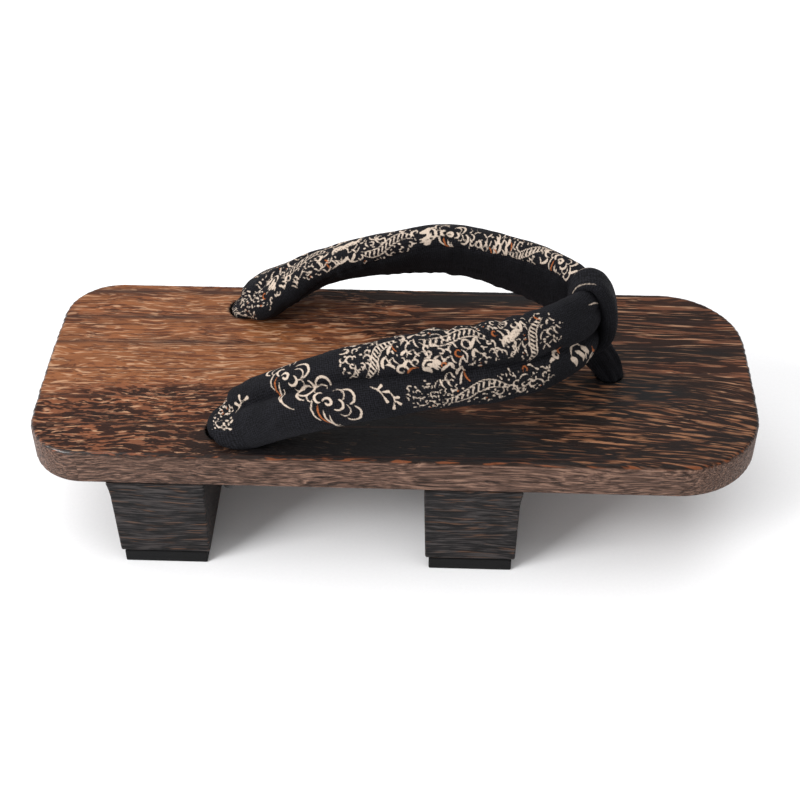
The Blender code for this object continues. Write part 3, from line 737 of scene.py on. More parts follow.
class PrintMaker:
    """Draws the print's figures at a size of about 1, before they are placed."""

    def draw(self, placed: Placed) -> list[Stroke]:
        """Draws one figure in its place.

        Args:
            placed: The figure, its place, its size and its turn.

        Returns:
            Its strokes in the cloth's millimetres.
        """
        chance = np.random.default_rng(placed.seed + 7)
        makers = {
            Motif.CLOUD: self.cloud,
            Motif.WAVES: self.waves,
            Motif.DROPS: self.drops,
            Motif.SPRIG: self.sprig,
            Motif.CURL: self.curl,
            Motif.BAND: self.band,
        }
        angle = math.radians(placed.turn)
        turn = np.array([[math.cos(angle), math.sin(angle)], [-math.sin(angle), math.cos(angle)]])
        strokes = []
        for points, widths, ink in makers[placed.motif](placed.size, chance):
            wobble = chance.normal(0.0, 0.06, points.shape)
            moved = (points + wobble) @ turn + (placed.along, placed.across)
            strokes.append(Stroke(moved, widths, ink))
        return strokes

    def cloud(self, size: float, chance: np.random.Generator) -> list[Stroke]:
        """Two crowns of lobes in outline, one over the other, a coil in the middle and thin tails.

        Args:
            size: Its size in millimetres.
            chance: The seeded draws.

        Returns:
            Its strokes about its own middle.
        """
        made = []
        for count, spread, radius, width in ((4, 1.15, 0.50, 0.9), (4, 0.78, 0.36, 0.55), (2, 0.42, 0.30, 0.9)):
            for i in range(count):
                angle = 200.0 - i * 200.0 / (count - 1) + chance.uniform(-9, 9)
                x = 1.3 * spread * size * math.cos(math.radians(angle))
                y = 0.75 * spread * size * math.sin(math.radians(angle))
                reach = radius * size * chance.uniform(0.85, 1.15)
                lobe = arc(x, y, reach, angle + 104, -208)
                made.append(brushed(lobe, width, tip=0.45, lean=chance.uniform(0.3, 0.7)))
        made.append(brushed(arc(0.0, -0.12 * size, 0.30 * size, 200, -330, 0.4, 16), 1.0, tip=0.5))
        for i, ink in enumerate((Ink.CREAM, Ink.RUST, Ink.CREAM, Ink.CREAM)):
            foot = np.array([-0.8 + 0.4 * i, -0.4 - 0.12 * i]) * size
            tip = foot + np.array([1.0 + 0.25 * i, -0.95 + 0.16 * i]) * size * chance.uniform(0.8, 1.15)
            made.append(brushed(bent_line(foot, tip, -0.2), 0.65, ink, 0.5, 0.25))
        return made

    def band(self, size: float, chance: np.random.Generator) -> list[Stroke]:
        """A waving ribbon: two thin edges with short rungs between them.

        Args:
            size: Its size in millimetres.
            chance: The seeded draws.

        Returns:
            Its strokes about its own middle.
        """
        t = np.linspace(-1.0, 1.0, 26)
        middle = np.stack([2.3 * t, 0.5 * np.sin(2.7 * t + chance.uniform(0, 1))], 1) * size
        half = (0.12 + 0.28 * (1 - t**2)) * size
        made = [brushed(middle + np.stack([0 * t, side * half], 1), 0.55, tip=0.5) for side in (-1, 1)]
        for i in range(2, 25, 2):
            reach = np.array([0.25, 1.0]) * half[i] * 0.55
            made.append(Stroke(np.stack([middle[i] - reach, middle[i] + reach]), np.array([0.55, 0.75]), Ink.CREAM))
        return made

    def curl(self, size: float, chance: np.random.Generator) -> list[Stroke]:
        """One curl with a swelling head and a tail.

        Args:
            size: Its size in millimetres.
            chance: The seeded draws.

        Returns:
            Its strokes about its own middle.
        """
        return [
            brushed(arc(0, 0, 0.62 * size, -60, 400, 0.3, 24), 1.0, lean=0.35),
            brushed(bent_line((0.3 * size, -0.55 * size), (1.5 * size, -0.2 * size), 0.2), 0.9, Ink.RUST, 0.2, 0.2),
            brushed(bent_line((-0.55 * size, 0.3 * size), (-1.3 * size, 0.9 * size), -0.2), 1.0, lean=0.3),
        ]

    def waves(self, size: float, chance: np.random.Generator) -> list[Stroke]:
        """Nested arcs, twice, as in a wave pattern.

        Args:
            size: Its size in millimetres.
            chance: The seeded draws.

        Returns:
            Its strokes about its own middle.
        """
        made = []
        for x, y in ((-0.62, 0.0), (0.62, -0.1)):
            for share in (1.0, 0.74, 0.5, 0.26):
                width = 0.95 if share == 1.0 else 0.6
                made.append(brushed(arc(x * size, y * size, 0.72 * size * share, 178, -176), width, tip=0.5))
        return made

    def drops(self, size: float, chance: np.random.Generator) -> list[Stroke]:
        """Three thick drops side by side, each pulled out to a point, in a thin outline.

        Args:
            size: Its size in millimetres.
            chance: The seeded draws.

        Returns:
            Its strokes about its own middle.
        """
        made = []
        for x, length, width in ((-0.75, 1.0, 1.9), (0.1, 1.15, 1.5), (0.85, 0.7, 1.7)):
            top = (x * size, 0.55 * length * size)
            foot = ((x + 0.35) * size, -0.6 * length * size)
            made.append(brushed(bent_line(top, foot, 0.2), width, tip=0.25, lean=0.35))
        made.append(brushed(arc(0.2 * size, 0.25 * size, 0.85 * size, 165, -160), 0.9, lean=0.5))
        made.append(brushed(bent_line((1.2 * size, 0.1 * size), (0.9 * size, -0.9 * size), -0.2), 0.8, lean=0.3))
        return made

    def sprig(self, size: float, chance: np.random.Generator) -> list[Stroke]:
        """A thin bent stem with three buds.

        Args:
            size: Its size in millimetres.
            chance: The seeded draws.

        Returns:
            Its strokes about its own middle.
        """
        made = [brushed(bent_line((-size, -0.5 * size), (0.5 * size, 0.2 * size), 0.15), 0.6, tip=0.5)]
        for x, y, turn in ((0.75, 0.25, 0.0), (0.1, 0.65, 1.2), (-0.5, 0.3, 2.0)):
            centre = np.array([x, y]) * size
            step = 0.26 * size * np.array([math.cos(turn), math.sin(turn)])
            made.append(Stroke(np.stack([centre - step, centre + step]), np.array([0.6, 1.2]), Ink.CREAM))
        return made

    def fill(self, patch: Patch, taken: list[Stroke]) -> list[Stroke]:
        """Fills a stretch of the cloth with small figures in staggered rows.

        Args:
            patch: The stretch and its figure.
            taken: The strokes that scales keep clear of.

        Returns:
            The strokes in the cloth's millimetres.
        """
        chance = np.random.default_rng(patch.seed + 41)
        pitches = {Motif.SCALES: (1.6, 1.35), Motif.TONGUES: (2.3, 3.6), Motif.CURLS: (4.0, 3.4)}
        makers = {Motif.SCALES: self.scale, Motif.TONGUES: self.tongue, Motif.CURLS: self.small_curl}
        step, rise = pitches[patch.motif]
        middle = np.array([(patch.first + patch.last) / 2, (patch.low + patch.high) / 2])
        half = np.array([(patch.last - patch.first) / 2, (patch.high - patch.low) / 2])
        made = []
        for row in range(int(2 * half[1] / rise) + 1):
            for column in range(int(2 * half[0] / step) + 1):
                place = np.array([patch.first + (column + 0.5 * (row % 2)) * step, patch.low + (row + 0.5) * rise])
                place += (1.1 * math.sin(place[1] / 2.6 + patch.seed), 1.3 * math.sin(place[0] / 3.7 + patch.seed))
                place += chance.normal(0, step * 0.16, 2)
                inside = (np.abs((place - middle) / half) ** 2.4).sum() < chance.uniform(0.8, 1.25)
                if inside and chance.random() > 0.05 and not self.crowded(place, taken):
                    made += makers[patch.motif](place, chance)
        return made

    def crowded(self, place: np.ndarray, strokes: list[Stroke]) -> bool:
        """Whether a stroke already passes close by a place."""
        return any(np.abs(stroke.points - place).max(1).min() < 0.8 for stroke in strokes)

    def scale(self, place: np.ndarray, chance: np.random.Generator) -> list[Stroke]:
        """One short dab, at times touched with rust.

        Args:
            place: Its place on the cloth.
            chance: The seeded draws.

        Returns:
            Its strokes in the cloth's millimetres.
        """
        lean = chance.uniform(-0.9, 0.9) + math.sin(place[0] / 6.0)
        step = chance.uniform(0.05, 0.5) * np.array([math.cos(lean), math.sin(lean)])
        width = chance.uniform(0.45, 0.85)
        if chance.random() < 0.3:
            return [brushed(arc(*place, 0.75, math.degrees(lean) + 165, -150, steps=6), 0.5, tip=0.7)]
        made = [Stroke(np.stack([place - step, place + step]), np.array([width, width * 0.8]), Ink.CREAM)]
        if chance.random() < 0.10:
            low = place + (0.4, -0.35)
            made.append(Stroke(np.stack([low - step * 0.6, low + step * 0.6]), np.array([0.65, 0.5]), Ink.RUST))
        return made

    def tongue(self, place: np.ndarray, chance: np.random.Generator) -> list[Stroke]:
        """A tapering tongue with a thin line that turns back from its tip.

        Args:
            place: Its place on the cloth.
            chance: The seeded draws.

        Returns:
            Its strokes in the cloth's millimetres.
        """
        heading = 1.05 + 0.5 * math.sin(place[0] / 7.0) + chance.normal(0, 0.18)
        way = np.array([math.cos(heading), math.sin(heading)])
        length = chance.uniform(2.4, 5.0)
        tip = place + way * length / 2
        foot = place - way * length / 2
        back = tip + (chance.uniform(0.9, 1.7), -length * chance.uniform(0.45, 0.8))
        ink = Ink.RUST if chance.random() < 0.13 else Ink.CREAM
        width = chance.choice((0.55, 0.6, 0.7, 1.2))
        return [
            brushed(bent_line(foot, tip, chance.uniform(0.08, 0.22), 6), width, tip=0.35, lean=0.3),
            brushed(bent_line(tip, back, -0.15, 6), 0.6, ink, 0.5, 0.5),
        ]

    def small_curl(self, place: np.ndarray, chance: np.random.Generator) -> list[Stroke]:
        """A small curl whose tail swings out.

        Args:
            place: Its place on the cloth.
            chance: The seeded draws.

        Returns:
            Its strokes in the cloth's millimetres.
        """
        start = chance.uniform(0, 360)
        ink = Ink.RUST if chance.random() < 0.1 else Ink.CREAM
        made = [brushed(arc(*place, chance.uniform(1.0, 1.9), start, -290, 0.3, 14), 0.65, ink, 0.5, 0.4)]
        end = place + chance.normal(0, 2.0, 2)
        made.append(brushed(bent_line(place + (0.8, 0.8), end + (1.2, -0.8), 0.25, 6), 0.65, tip=0.4, lean=0.4))
        return made


def ink_depth(strokes: list[Stroke], ink: Ink, along: np.ndarray, across: np.ndarray) -> np.ndarray:
    """How far inside an ink's strokes each point of the cloth lies.

    Args:
        strokes: All strokes.
        ink: The ink that is wanted.
        along: The points' places along the cloth in millimetres.
        across: The points' places across it.

    Returns:
        The depth in millimetres, which is below 0 outside the strokes and never below -1.
    """
    depth = np.full(along.shape, NO_INK)
    for stroke in strokes:
        if stroke.ink is not ink:
            continue
        low = stroke.points.min(0) - 2.0
        high = stroke.points.max(0) + 2.0
        near = np.nonzero((along > low[0]) & (along < high[0]) & (across > low[1]) & (across < high[1]))
        if not len(near[0]):
            continue
        place = np.stack([along[near], across[near]], -1)
        best = depth[near]
        for i in range(len(stroke.points) - 1):
            start, way = stroke.points[i], stroke.points[i + 1] - stroke.points[i]
            t = np.clip(((place - start) @ way) / max(way @ way, 1e-9), 0.0, 1.0)
            apart = np.linalg.norm(place - start - t[:, None] * way, axis=-1)
            half = (stroke.widths[i] + (stroke.widths[i + 1] - stroke.widths[i]) * t) / 2
            best = np.maximum(best, half - apart)
        depth[near] = best
    return depth


class StrapRow(NamedTuple):
    """A row of the strap's path: shares of the way to the fold, the hole's distance from the middle and
    the strap's rise, then its lean in degrees and shares of its width and thickness."""

    along: float
    spread: float
    rise: float
    lean: float
    width: float
    thickness: float


class Crease(NamedTuple):
    """A crease laid on the strap, in the cloth's millimetres and degrees."""

    along: float
    across: float
    half_length: float
    half_width: float
    depth: float
    turn: float


@dataclass
class PaddedStrap:
    """The strap, one padded tube in a V. Its outer cloth is printed, and a plain black lining closes it on
    the side of the foot. Sizes in millimetres."""

    width: float = 28.0
    thickness: float = 13.8
    rise: float = 30.0
    fold_x: float = 70.0
    fullness: float = 2.3
    crease_depth: float = 2.5
    crease_width: float = 4.8
    neck_radius: float = 5.3
    neck_depth: float = 6.0
    end_bulges: tuple[float, float] = (0.9, -1.6)
    seam: float = 23.5
    seam_depth: float = 0.35
    seam_margin: float = 1.0
    plain_edge: float = 0.4
    lining_blend: float = 0.5
    seam_width: float = 0.55
    pucker_depth: float = 0.45
    pucker_width: float = 3.2
    groove_depth: float = 0.6
    groove_width: float = 0.7
    ridge_share: float = 0.45
    ridge_spread: float = 2.2
    fold_line: tuple[tuple[float, float], ...] = ((137.5, 11.0), (143.0, 7.0))
    end_turns: tuple[float, ...] = (0.0, 18.0, 36.0, 54.0, 72.0)
    neck_map: tuple[float, ...] = (-14.0, -10.0, -6.5, -5.2, -3.9, -2.6, -1.3)
    stations: int = 700
    print_pitch: float = 0.46
    lining_pitch: float = 2.0
    right_rows: tuple[StrapRow, ...] = (
        StrapRow(0.006, 1.008, 0.085, 14, 0.60, 0.76),
        StrapRow(0.020, 1.025, 0.122, 22, 0.70, 0.80),
        StrapRow(0.040, 1.035, 0.165, 28, 0.79, 0.87),
        StrapRow(0.072, 1.028, 0.238, 29, 0.85, 0.95),
        StrapRow(0.115, 1.028, 0.346, 28, 0.90, 1.00),
        StrapRow(0.231, 1.075, 0.607, 30, 0.93, 1.00),
        StrapRow(0.423, 1.045, 0.855, 50, 0.94, 1.00),
    )
    left_rows: tuple[StrapRow, ...] = (
        StrapRow(0.012, 1.000, 0.085, 4, 0.62, 0.76),
        StrapRow(0.030, 1.010, 0.130, 6, 0.82, 0.82),
        StrapRow(0.055, 1.022, 0.185, 8, 0.98, 0.90),
        StrapRow(0.085, 1.040, 0.250, 11, 1.03, 0.97),
        StrapRow(0.125, 1.060, 0.345, 18, 1.03, 1.00),
        StrapRow(0.235, 1.100, 0.601, 30, 0.99, 1.00),
        StrapRow(0.423, 1.060, 0.855, 50, 0.97, 1.00),
    )
    front_rows: tuple[StrapRow, ...] = (
        StrapRow(0.615, 0.983, 1.000, 64, 0.98, 1.00),
        StrapRow(0.808, 0.722, 0.970, 70, 1.02, 0.99),
        StrapRow(0.932, 0.383, 0.953, 78, 1.03, 0.90),
        StrapRow(0.969, 0.205, 0.960, 81, 0.97, 0.79),
    )
    fold_row: StrapRow = StrapRow(0.9815, 0.0, 0.962, 82, 0.92, 0.72)
    crease_course: tuple[tuple[float, float], ...] = (
        (0, 3.2), (20, 1.5), (50, 1.1), (72, 0.2), (85, -0.8),
        (95, 0.6), (112, -1.0), (120, 0.0), (138, -3.6), (150, -6.0),
    )
    creases: tuple[Crease, ...] = (
        Crease(12, 2, 9, 1.4, 0.5, 62),
        Crease(24, -7, 10, 1.6, 0.45, 20),
        Crease(58, 6, 12, 1.5, 0.45, -14),
        Crease(84, -6, 13, 1.6, 0.4, 9),
        Crease(74, 16, 8, 2.0, 1.0, 64),
        Crease(84, 17, 8, 2.2, 1.5, 80),
        Crease(94, 18, 8, 2.0, 1.3, 100),
        Crease(104, 17, 8, 2.2, 1.6, 74),
        Crease(113, 17, 7, 1.9, 1.1, 96),
        Crease(112, 5, 12, 1.4, 0.5, -10),
        Crease(132, -3, 9, 1.2, 0.55, 16),
        Crease(141, 6, 8, 1.1, 0.6, -24),
        Crease(146, -8, 7, 1.0, 0.6, 34),
        Crease(168, 6, 7, 1.0, 0.6, 26),
        Crease(182, 11, 10, 1.3, 0.45, 12),
        Crease(214, 12, 14, 1.5, 0.4, -8),
        Crease(250, 10, 12, 1.5, 0.45, 10),
        Crease(292, 6, 10, 1.4, 0.5, -40),
    )
    figures: tuple[Placed, ...] = (
        Placed(Motif.SPRIG, 11, 3, 3.2, 10, 1),
        Placed(Motif.CLOUD, 30, 7.0, 5.4, -52, 3),
        Placed(Motif.CLOUD, 43, -5.0, 5.8, -38, 4),
        Placed(Motif.SPRIG, 60, -4.5, 3.6, -70, 5),
        Placed(Motif.SPRIG, 64, -7.5, 2.8, -110, 15),
        Placed(Motif.CURL, 69, 2.5, 3.6, 10, 6),
        Placed(Motif.BAND, 62, 8, 3.6, 40, 16),
        Placed(Motif.BAND, 86, 12, 4.4, -8, 17),
        Placed(Motif.DROPS, 78, 2, 2.6, 40, 18),
        Placed(Motif.BAND, 91, -7.5, 4.6, 3, 19),
        Placed(Motif.WAVES, 105, 9, 2.9, 30, 8),
        Placed(Motif.BAND, 113, 7, 3.6, 62, 20),
        Placed(Motif.CURL, 121, -1.5, 2.4, 60, 9),
        Placed(Motif.DROPS, 129, -6, 3.8, 12, 10),
        Placed(Motif.CURL, 136, -9, 2.2, 90, 12),
        Placed(Motif.CLOUD, 163, 18, 4.2, 150, 21),
        Placed(Motif.BAND, 177, 19, 3.6, 12, 22),
        Placed(Motif.CLOUD, 209, 18, 3.8, 160, 23),
        Placed(Motif.DROPS, 217, 17.5, 3.0, 100, 24),
        Placed(Motif.BAND, 231, 18, 4.2, 176, 27),
        Placed(Motif.WAVES, 247, 14, 3.4, 190, 25),
        Placed(Motif.BAND, 264, 10, 4.2, 170, 28),
        Placed(Motif.DROPS, 279, 8, 3.2, 110, 26),
        Placed(Motif.CLOUD, 174, 2, 5.6, 14, 31),
        Placed(Motif.CLOUD, 214, 0, 5.6, 170, 32),
        Placed(Motif.CLOUD, 262, -5, 5.6, 20, 33),
        Placed(Motif.CLOUD, 236, 3, 5.0, -20, 34),
    )
    patches: tuple[Patch, ...] = (
        Patch(Motif.SCALES, -1, 7, -7, 8, 1),
        Patch(Motif.SCALES, 48, 64, 2, 16, 2),
        Patch(Motif.CURLS, 48, 62, 3, 15, 32),
        Patch(Motif.TONGUES, 58, 76, 3, 18, 3),
        Patch(Motif.CURLS, 68, 90, 1, 17, 4),
        Patch(Motif.TONGUES, 72, 94, -1, 18, 5),
        Patch(Motif.SCALES, 66, 106, 1, 18, 6),
        Patch(Motif.CURLS, 92, 112, 3, 17, 7),
        Patch(Motif.TONGUES, 106, 122, 2, 16, 13),
        Patch(Motif.SCALES, 100, 124, 1, 16, 8),
        Patch(Motif.SCALES, 68, 96, -13, -2, 9),
        Patch(Motif.TONGUES, 76, 92, -5, 1, 10),
        Patch(Motif.SCALES, 90, 118, -13, -2, 11),
        Patch(Motif.CURLS, 98, 116, -11, -3, 12),
        Patch(Motif.TONGUES, 154, 172, 13, 24, 21),
        Patch(Motif.SCALES, 168, 192, 13, 24, 22),
        Patch(Motif.TONGUES, 184, 197, 14, 24, 23),
        Patch(Motif.CURLS, 186, 204, 14, 24, 14),
        Patch(Motif.SCALES, 190, 206, 14, 24, 24),
        Patch(Motif.CURLS, 218, 242, 12, 23, 25),
        Patch(Motif.SCALES, 220, 246, 12, 23, 15),
        Patch(Motif.TONGUES, 238, 258, 7, 21, 26),
        Patch(Motif.SCALES, 248, 268, 4, 19, 27),
        Patch(Motif.TONGUES, 260, 276, 0, 17, 28),
        Patch(Motif.CURLS, 264, 284, 0, 16, 16),
        Patch(Motif.SCALES, 268, 290, -2, 17, 29),
        Patch(Motif.SCALES, 288, 300, -5, 17, 30),
        Patch(Motif.SCALES, 298, 307, -9, 9, 31),
        Patch(Motif.SCALES, 184, 206, -8, 10, 41),
        Patch(Motif.TONGUES, 224, 240, -12, -2, 42),
        Patch(Motif.CURLS, 246, 260, -13, 4, 43),
        Patch(Motif.SCALES, 268, 290, -14, -4, 44),
        Patch(Motif.TONGUES, 160, 176, -12, -4, 45),
    )

    def along_x(self, row: StrapRow) -> float:
        """How far along the board a row lies."""
        return HOLES[1][0] + (self.fold_x - HOLES[1][0]) * row.along

    def path(self) -> np.ndarray:
        """The strap's stations from its right hole round the fold to its left hole.

        Returns:
            Rows of x, y, z, lean, half width and half thickness.
        """
        hole_y = HOLES[1][1]

        def numbers(row: StrapRow, side: int) -> tuple[float, ...]:
            """One row's numbers on one side."""
            return (
                self.along_x(row),
                side * hole_y * row.spread,
                BOARD_TOP + self.rise * row.rise,
                row.lean,
                self.width / 2 * row.width,
                self.thickness / 2 * row.thickness,
            )

        rows = [numbers(row, -1) for row in self.right_rows + self.front_rows]
        rows.append(numbers(self.fold_row, 1))
        rows += [numbers(row, 1) for row in reversed(self.left_rows + self.front_rows)]
        return even_stations(np.array(rows, float), self.stations)

    def turns(self) -> np.ndarray:
        """Angles round the section, close together under the print and wider apart under the lining.

        Returns:
            The angles in radians.
        """
        fine = np.linspace(0.0, math.tau, 4001)
        across, out = superellipse(fine, self.fullness)
        points = np.stack([across * self.width / 2, out * self.thickness / 2], 1)
        keys = along_keys(points)
        around = keys[-1]
        reach = self.seam + self.seam_margin
        printed = np.linspace(-reach, reach, self.printed_steps())
        lined = np.linspace(reach, around - reach, int((around - 2 * reach) / self.lining_pitch))[1:-1]
        wanted = np.concatenate([printed, lined]) + around / 4
        return np.interp(wanted % around, keys, fine)

    def printed_steps(self) -> int:
        """How many close angles the section has under the print."""
        return int(2 * (self.seam + self.seam_margin) / self.print_pitch)

    def build(self, cloth: bpy.types.Material) -> bpy.types.Object:
        """Builds the strap.

        Args:
            cloth: The printed cloth, which also shows the lining.

        Returns:
            The strap's object.
        """
        rows = self.path()
        turns = self.turns()
        along_way = normalised(np.gradient(rows[:, :3], axis=0))
        heading = normalised(along_way * (1.0, 1.0, 0.0))
        inward = np.cross((0.0, 0.0, 1.0), heading)
        over = normalised(np.cross(along_way, inward))
        lean = np.radians(rows[:, 3])[:, None]
        across_axis = inward * np.cos(lean) + over * np.sin(lean)
        out_axis = over * np.cos(lean) - inward * np.sin(lean)
        across, out = superellipse(turns, self.fullness)
        across = across * rows[:, 4][:, None]
        out = out * rows[:, 5][:, None]
        u = np.repeat(along_keys(rows[:, :3])[:, None], len(turns), 1)
        v = self.way_round(across, out)
        slope_across = np.roll(across, -1, 1) - np.roll(across, 1, 1)
        slope_out = np.roll(out, -1, 1) - np.roll(out, 1, 1)
        normal = normalised(np.stack([-slope_out, slope_across], -1))
        normal *= np.sign((normal * np.stack([across, out], -1)).sum(-1, keepdims=True))
        sink = self.sink(u, v, out, rows[:, 4][:, None])
        across = across - normal[..., 0] * sink
        out = out - normal[..., 1] * sink
        rings = rows[:, None, :3] + across_axis[:, None] * across[..., None] + out_axis[:, None] * out[..., None]
        rings[..., 2] = np.maximum(rings[..., 2], BOARD_TOP + GAP)
        frames = [(rows[end], across_axis[end], out_axis[end]) for end in (0, -1)]
        rings, u, v = self.with_necks(rings, turns, u, v, frames)
        piece = grid_piece("printed_padded_strap", rings, cloth, self.cloth_map(u, v))
        strokes = self.strokes()
        covered = np.clip(self.seam - self.plain_edge - np.abs(v), NO_INK, 1.0)
        for ink in Ink:
            mark(piece.data, ink.value, np.minimum(ink_depth(strokes, ink, u, v), covered))
        # The lining mark also drives the cloth's painted shade on the strap's underside.
        mark(piece.data, "lining", np.clip((np.abs(v) - self.seam) / self.lining_blend, 0.0, 1.0))
        return piece

    def strokes(self) -> list[Stroke]:
        """The whole print: its figures, the fills with the scales last, and a line beside the toe loop.

        Returns:
            The strokes in the cloth's millimetres.
        """
        maker = PrintMaker()
        strokes = [stroke for placed in self.figures for stroke in maker.draw(placed)]
        for patch in sorted(self.patches, key=lambda patch: patch.motif is Motif.SCALES):
            strokes += maker.fill(patch, strokes)
        return strokes + [brushed(bent_line(*self.fold_line, 0.05), 0.6, tip=0.5)]

    def way_round(self, across: np.ndarray, out: np.ndarray) -> np.ndarray:
        """How far round its section each point lies from the middle of the outer face.

        Args:
            across: The points' places across the section.
            out: Their places out from it.

        Returns:
            The signed way in millimetres, above 0 towards the foot.
        """
        steps = np.hypot(np.diff(across, axis=1), np.diff(out, axis=1))
        way = np.concatenate([np.zeros((len(across), 1)), np.cumsum(steps, 1)], 1)
        closing = np.hypot(across[:, 0] - across[:, -1], out[:, 0] - out[:, -1])[:, None]
        around = way[:, -1:] + closing
        middle = self.printed_steps() // 2
        way = way - way[:, middle : middle + 1]
        way = np.where(way > around / 2, way - around, way)
        return -way

    def sink(self, u: np.ndarray, v: np.ndarray, out: np.ndarray, half: np.ndarray) -> np.ndarray:
        """How far the cloth lies inside the plain padded section.

        Args:
            u: The way along the strap.
            v: The way round it.
            out: The points' places out from the section's middle.
            half: The section's half width.

        Returns:
            The depth in millimetres.
        """
        fade = np.clip((half / (self.width / 2) - 0.6) / 0.3, 0.0, 1.0)
        line = self.crease_line(u)
        middle = self.crease_depth * fade * np.exp(-((2 * (v - line) / self.crease_width) ** 2))
        sharp = self.groove_depth * fade * np.exp(-(((v - line) / self.groove_width) ** 2))
        depth = np.where(out > 0, middle + sharp, 0.0)
        for crease in self.creases:
            angle = math.radians(crease.turn)
            away_u, away_v = u - crease.along, v - crease.across
            way = away_u * math.cos(angle) + away_v * math.sin(angle)
            off = away_v * math.cos(angle) - away_u * math.sin(angle)
            ridge = self.ridge_share * np.exp(-((off / (self.ridge_spread * crease.half_width)) ** 2))
            hollow = np.exp(-((off / crease.half_width) ** 2)) - ridge
            depth = depth + crease.depth * hollow * np.exp(-((way / crease.half_length) ** 2))
        seam = np.exp(-(((np.abs(v) - self.seam) / self.seam_width) ** 2))
        pucker = np.exp(-(((np.abs(v) - self.seam) / self.pucker_width) ** 2)) * ripple(u, v * 0.3, 5.5, 5)
        depth = depth + self.seam_depth * seam + self.pucker_depth * pucker
        return depth + 0.22 * ripple(u, v, 12.0, 11) + 0.07 * ripple(u, v, 4.0, 12)

    def crease_line(self, u: np.ndarray) -> np.ndarray:
        """Where round the strap its long crease runs, at each way along it, the same on both sides.

        Args:
            u: The way along the strap at each point.

        Returns:
            The way round it where the crease runs.
        """
        course = np.array(self.crease_course, float)
        from_end = np.minimum(u, u.max() - u)
        return np.interp(from_end, course[:, 0], course[:, 1])

    def with_necks(
        self,
        rings: np.ndarray,
        turns: np.ndarray,
        u: np.ndarray,
        v: np.ndarray,
        frames: list[tuple[np.ndarray, np.ndarray, np.ndarray]],
    ) -> tuple[np.ndarray, np.ndarray, np.ndarray]:
        """Adds the full round ends of the strap and the necks that go down into the rear holes.

        Args:
            rings: The strap's rings.
            turns: The angles round each ring.
            u: The way along at each point.
            v: The way round at each point.
            frames: The first and the last row with their directions across and out.

        Returns:
            The longer rings, u and v.
        """
        across, out = (part[:, None] for part in superellipse(turns, 2.0))
        ends = []
        for side, bulge, (row, across_axis, out_axis) in zip((-1, 1), self.end_bulges, frames):
            hole = np.array([HOLES[1][0], side * HOLES[1][1], BOARD_TOP + GAP])
            flat_across, flat_out = np.array([0.0, -side, 0.0]), np.array([-1.0, 0.0, 0.0])
            made = []
            for depth in (self.neck_depth, self.neck_depth / 2):
                level = hole + flat_across * across * self.neck_radius + flat_out * out * self.neck_radius
                made.append(level - (0.0, 0.0, depth))
            for turn in np.radians(self.end_turns):
                share = math.sin(turn)
                centre = hole + (row[:3] - hole) * share
                wide = self.neck_radius + (row[4] - self.neck_radius) * share**0.7
                thick = self.neck_radius + (row[5] - self.neck_radius) * share + bulge * math.sin(2 * turn)
                way_across = normalised(flat_across * math.cos(turn) + across_axis * share)
                way_out = normalised(flat_out * math.cos(turn) + out_axis * share)
                ring = centre + way_across * across * wide + way_out * out * thick
                ring[:, 2] = np.maximum(ring[:, 2], BOARD_TOP + GAP)
                made.append(ring)
            ends.append(made)
        rings = np.concatenate([np.array(ends[0]), rings, np.array(ends[1][::-1])])
        lead = np.array(self.neck_map)[:, None]
        u = np.concatenate([u[:1] + lead, u, u[-1:] - lead[::-1]])
        v = np.concatenate([np.repeat(v[:1], len(lead), 0), v, np.repeat(v[-1:], len(lead), 0)])
        return rings, u, v

    def cloth_map(self, u: np.ndarray, v: np.ndarray) -> np.ndarray:
        """The cloth's map with the column added that closes it.

        Args:
            u: The way along at each point.
            v: The way round at each point.

        Returns:
            Map coordinates, one column wider than the points.
        """
        u, v = np.concatenate([u, u[:, :1]], 1), np.concatenate([v, v[:, :1]], 1)
        jump = np.diff(v, axis=1, prepend=v[:, :1])
        v = v - np.cumsum(np.where(jump > 10, jump, 0.0), 1) - np.cumsum(np.where(jump < -10, jump, 0.0), 1)
        return np.stack([u, v], -1)

    def dress(self, piece: bpy.types.Object) -> None:
        """Ties the strap to the frame."""
        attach(piece, ROOT)
        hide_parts("strap")


class FootRow(NamedTuple):
    """A row of the loop's foot, as shares of the way down, the way forward and the foot's two sizes."""

    down: float
    forward: float
    length: float
    width: float


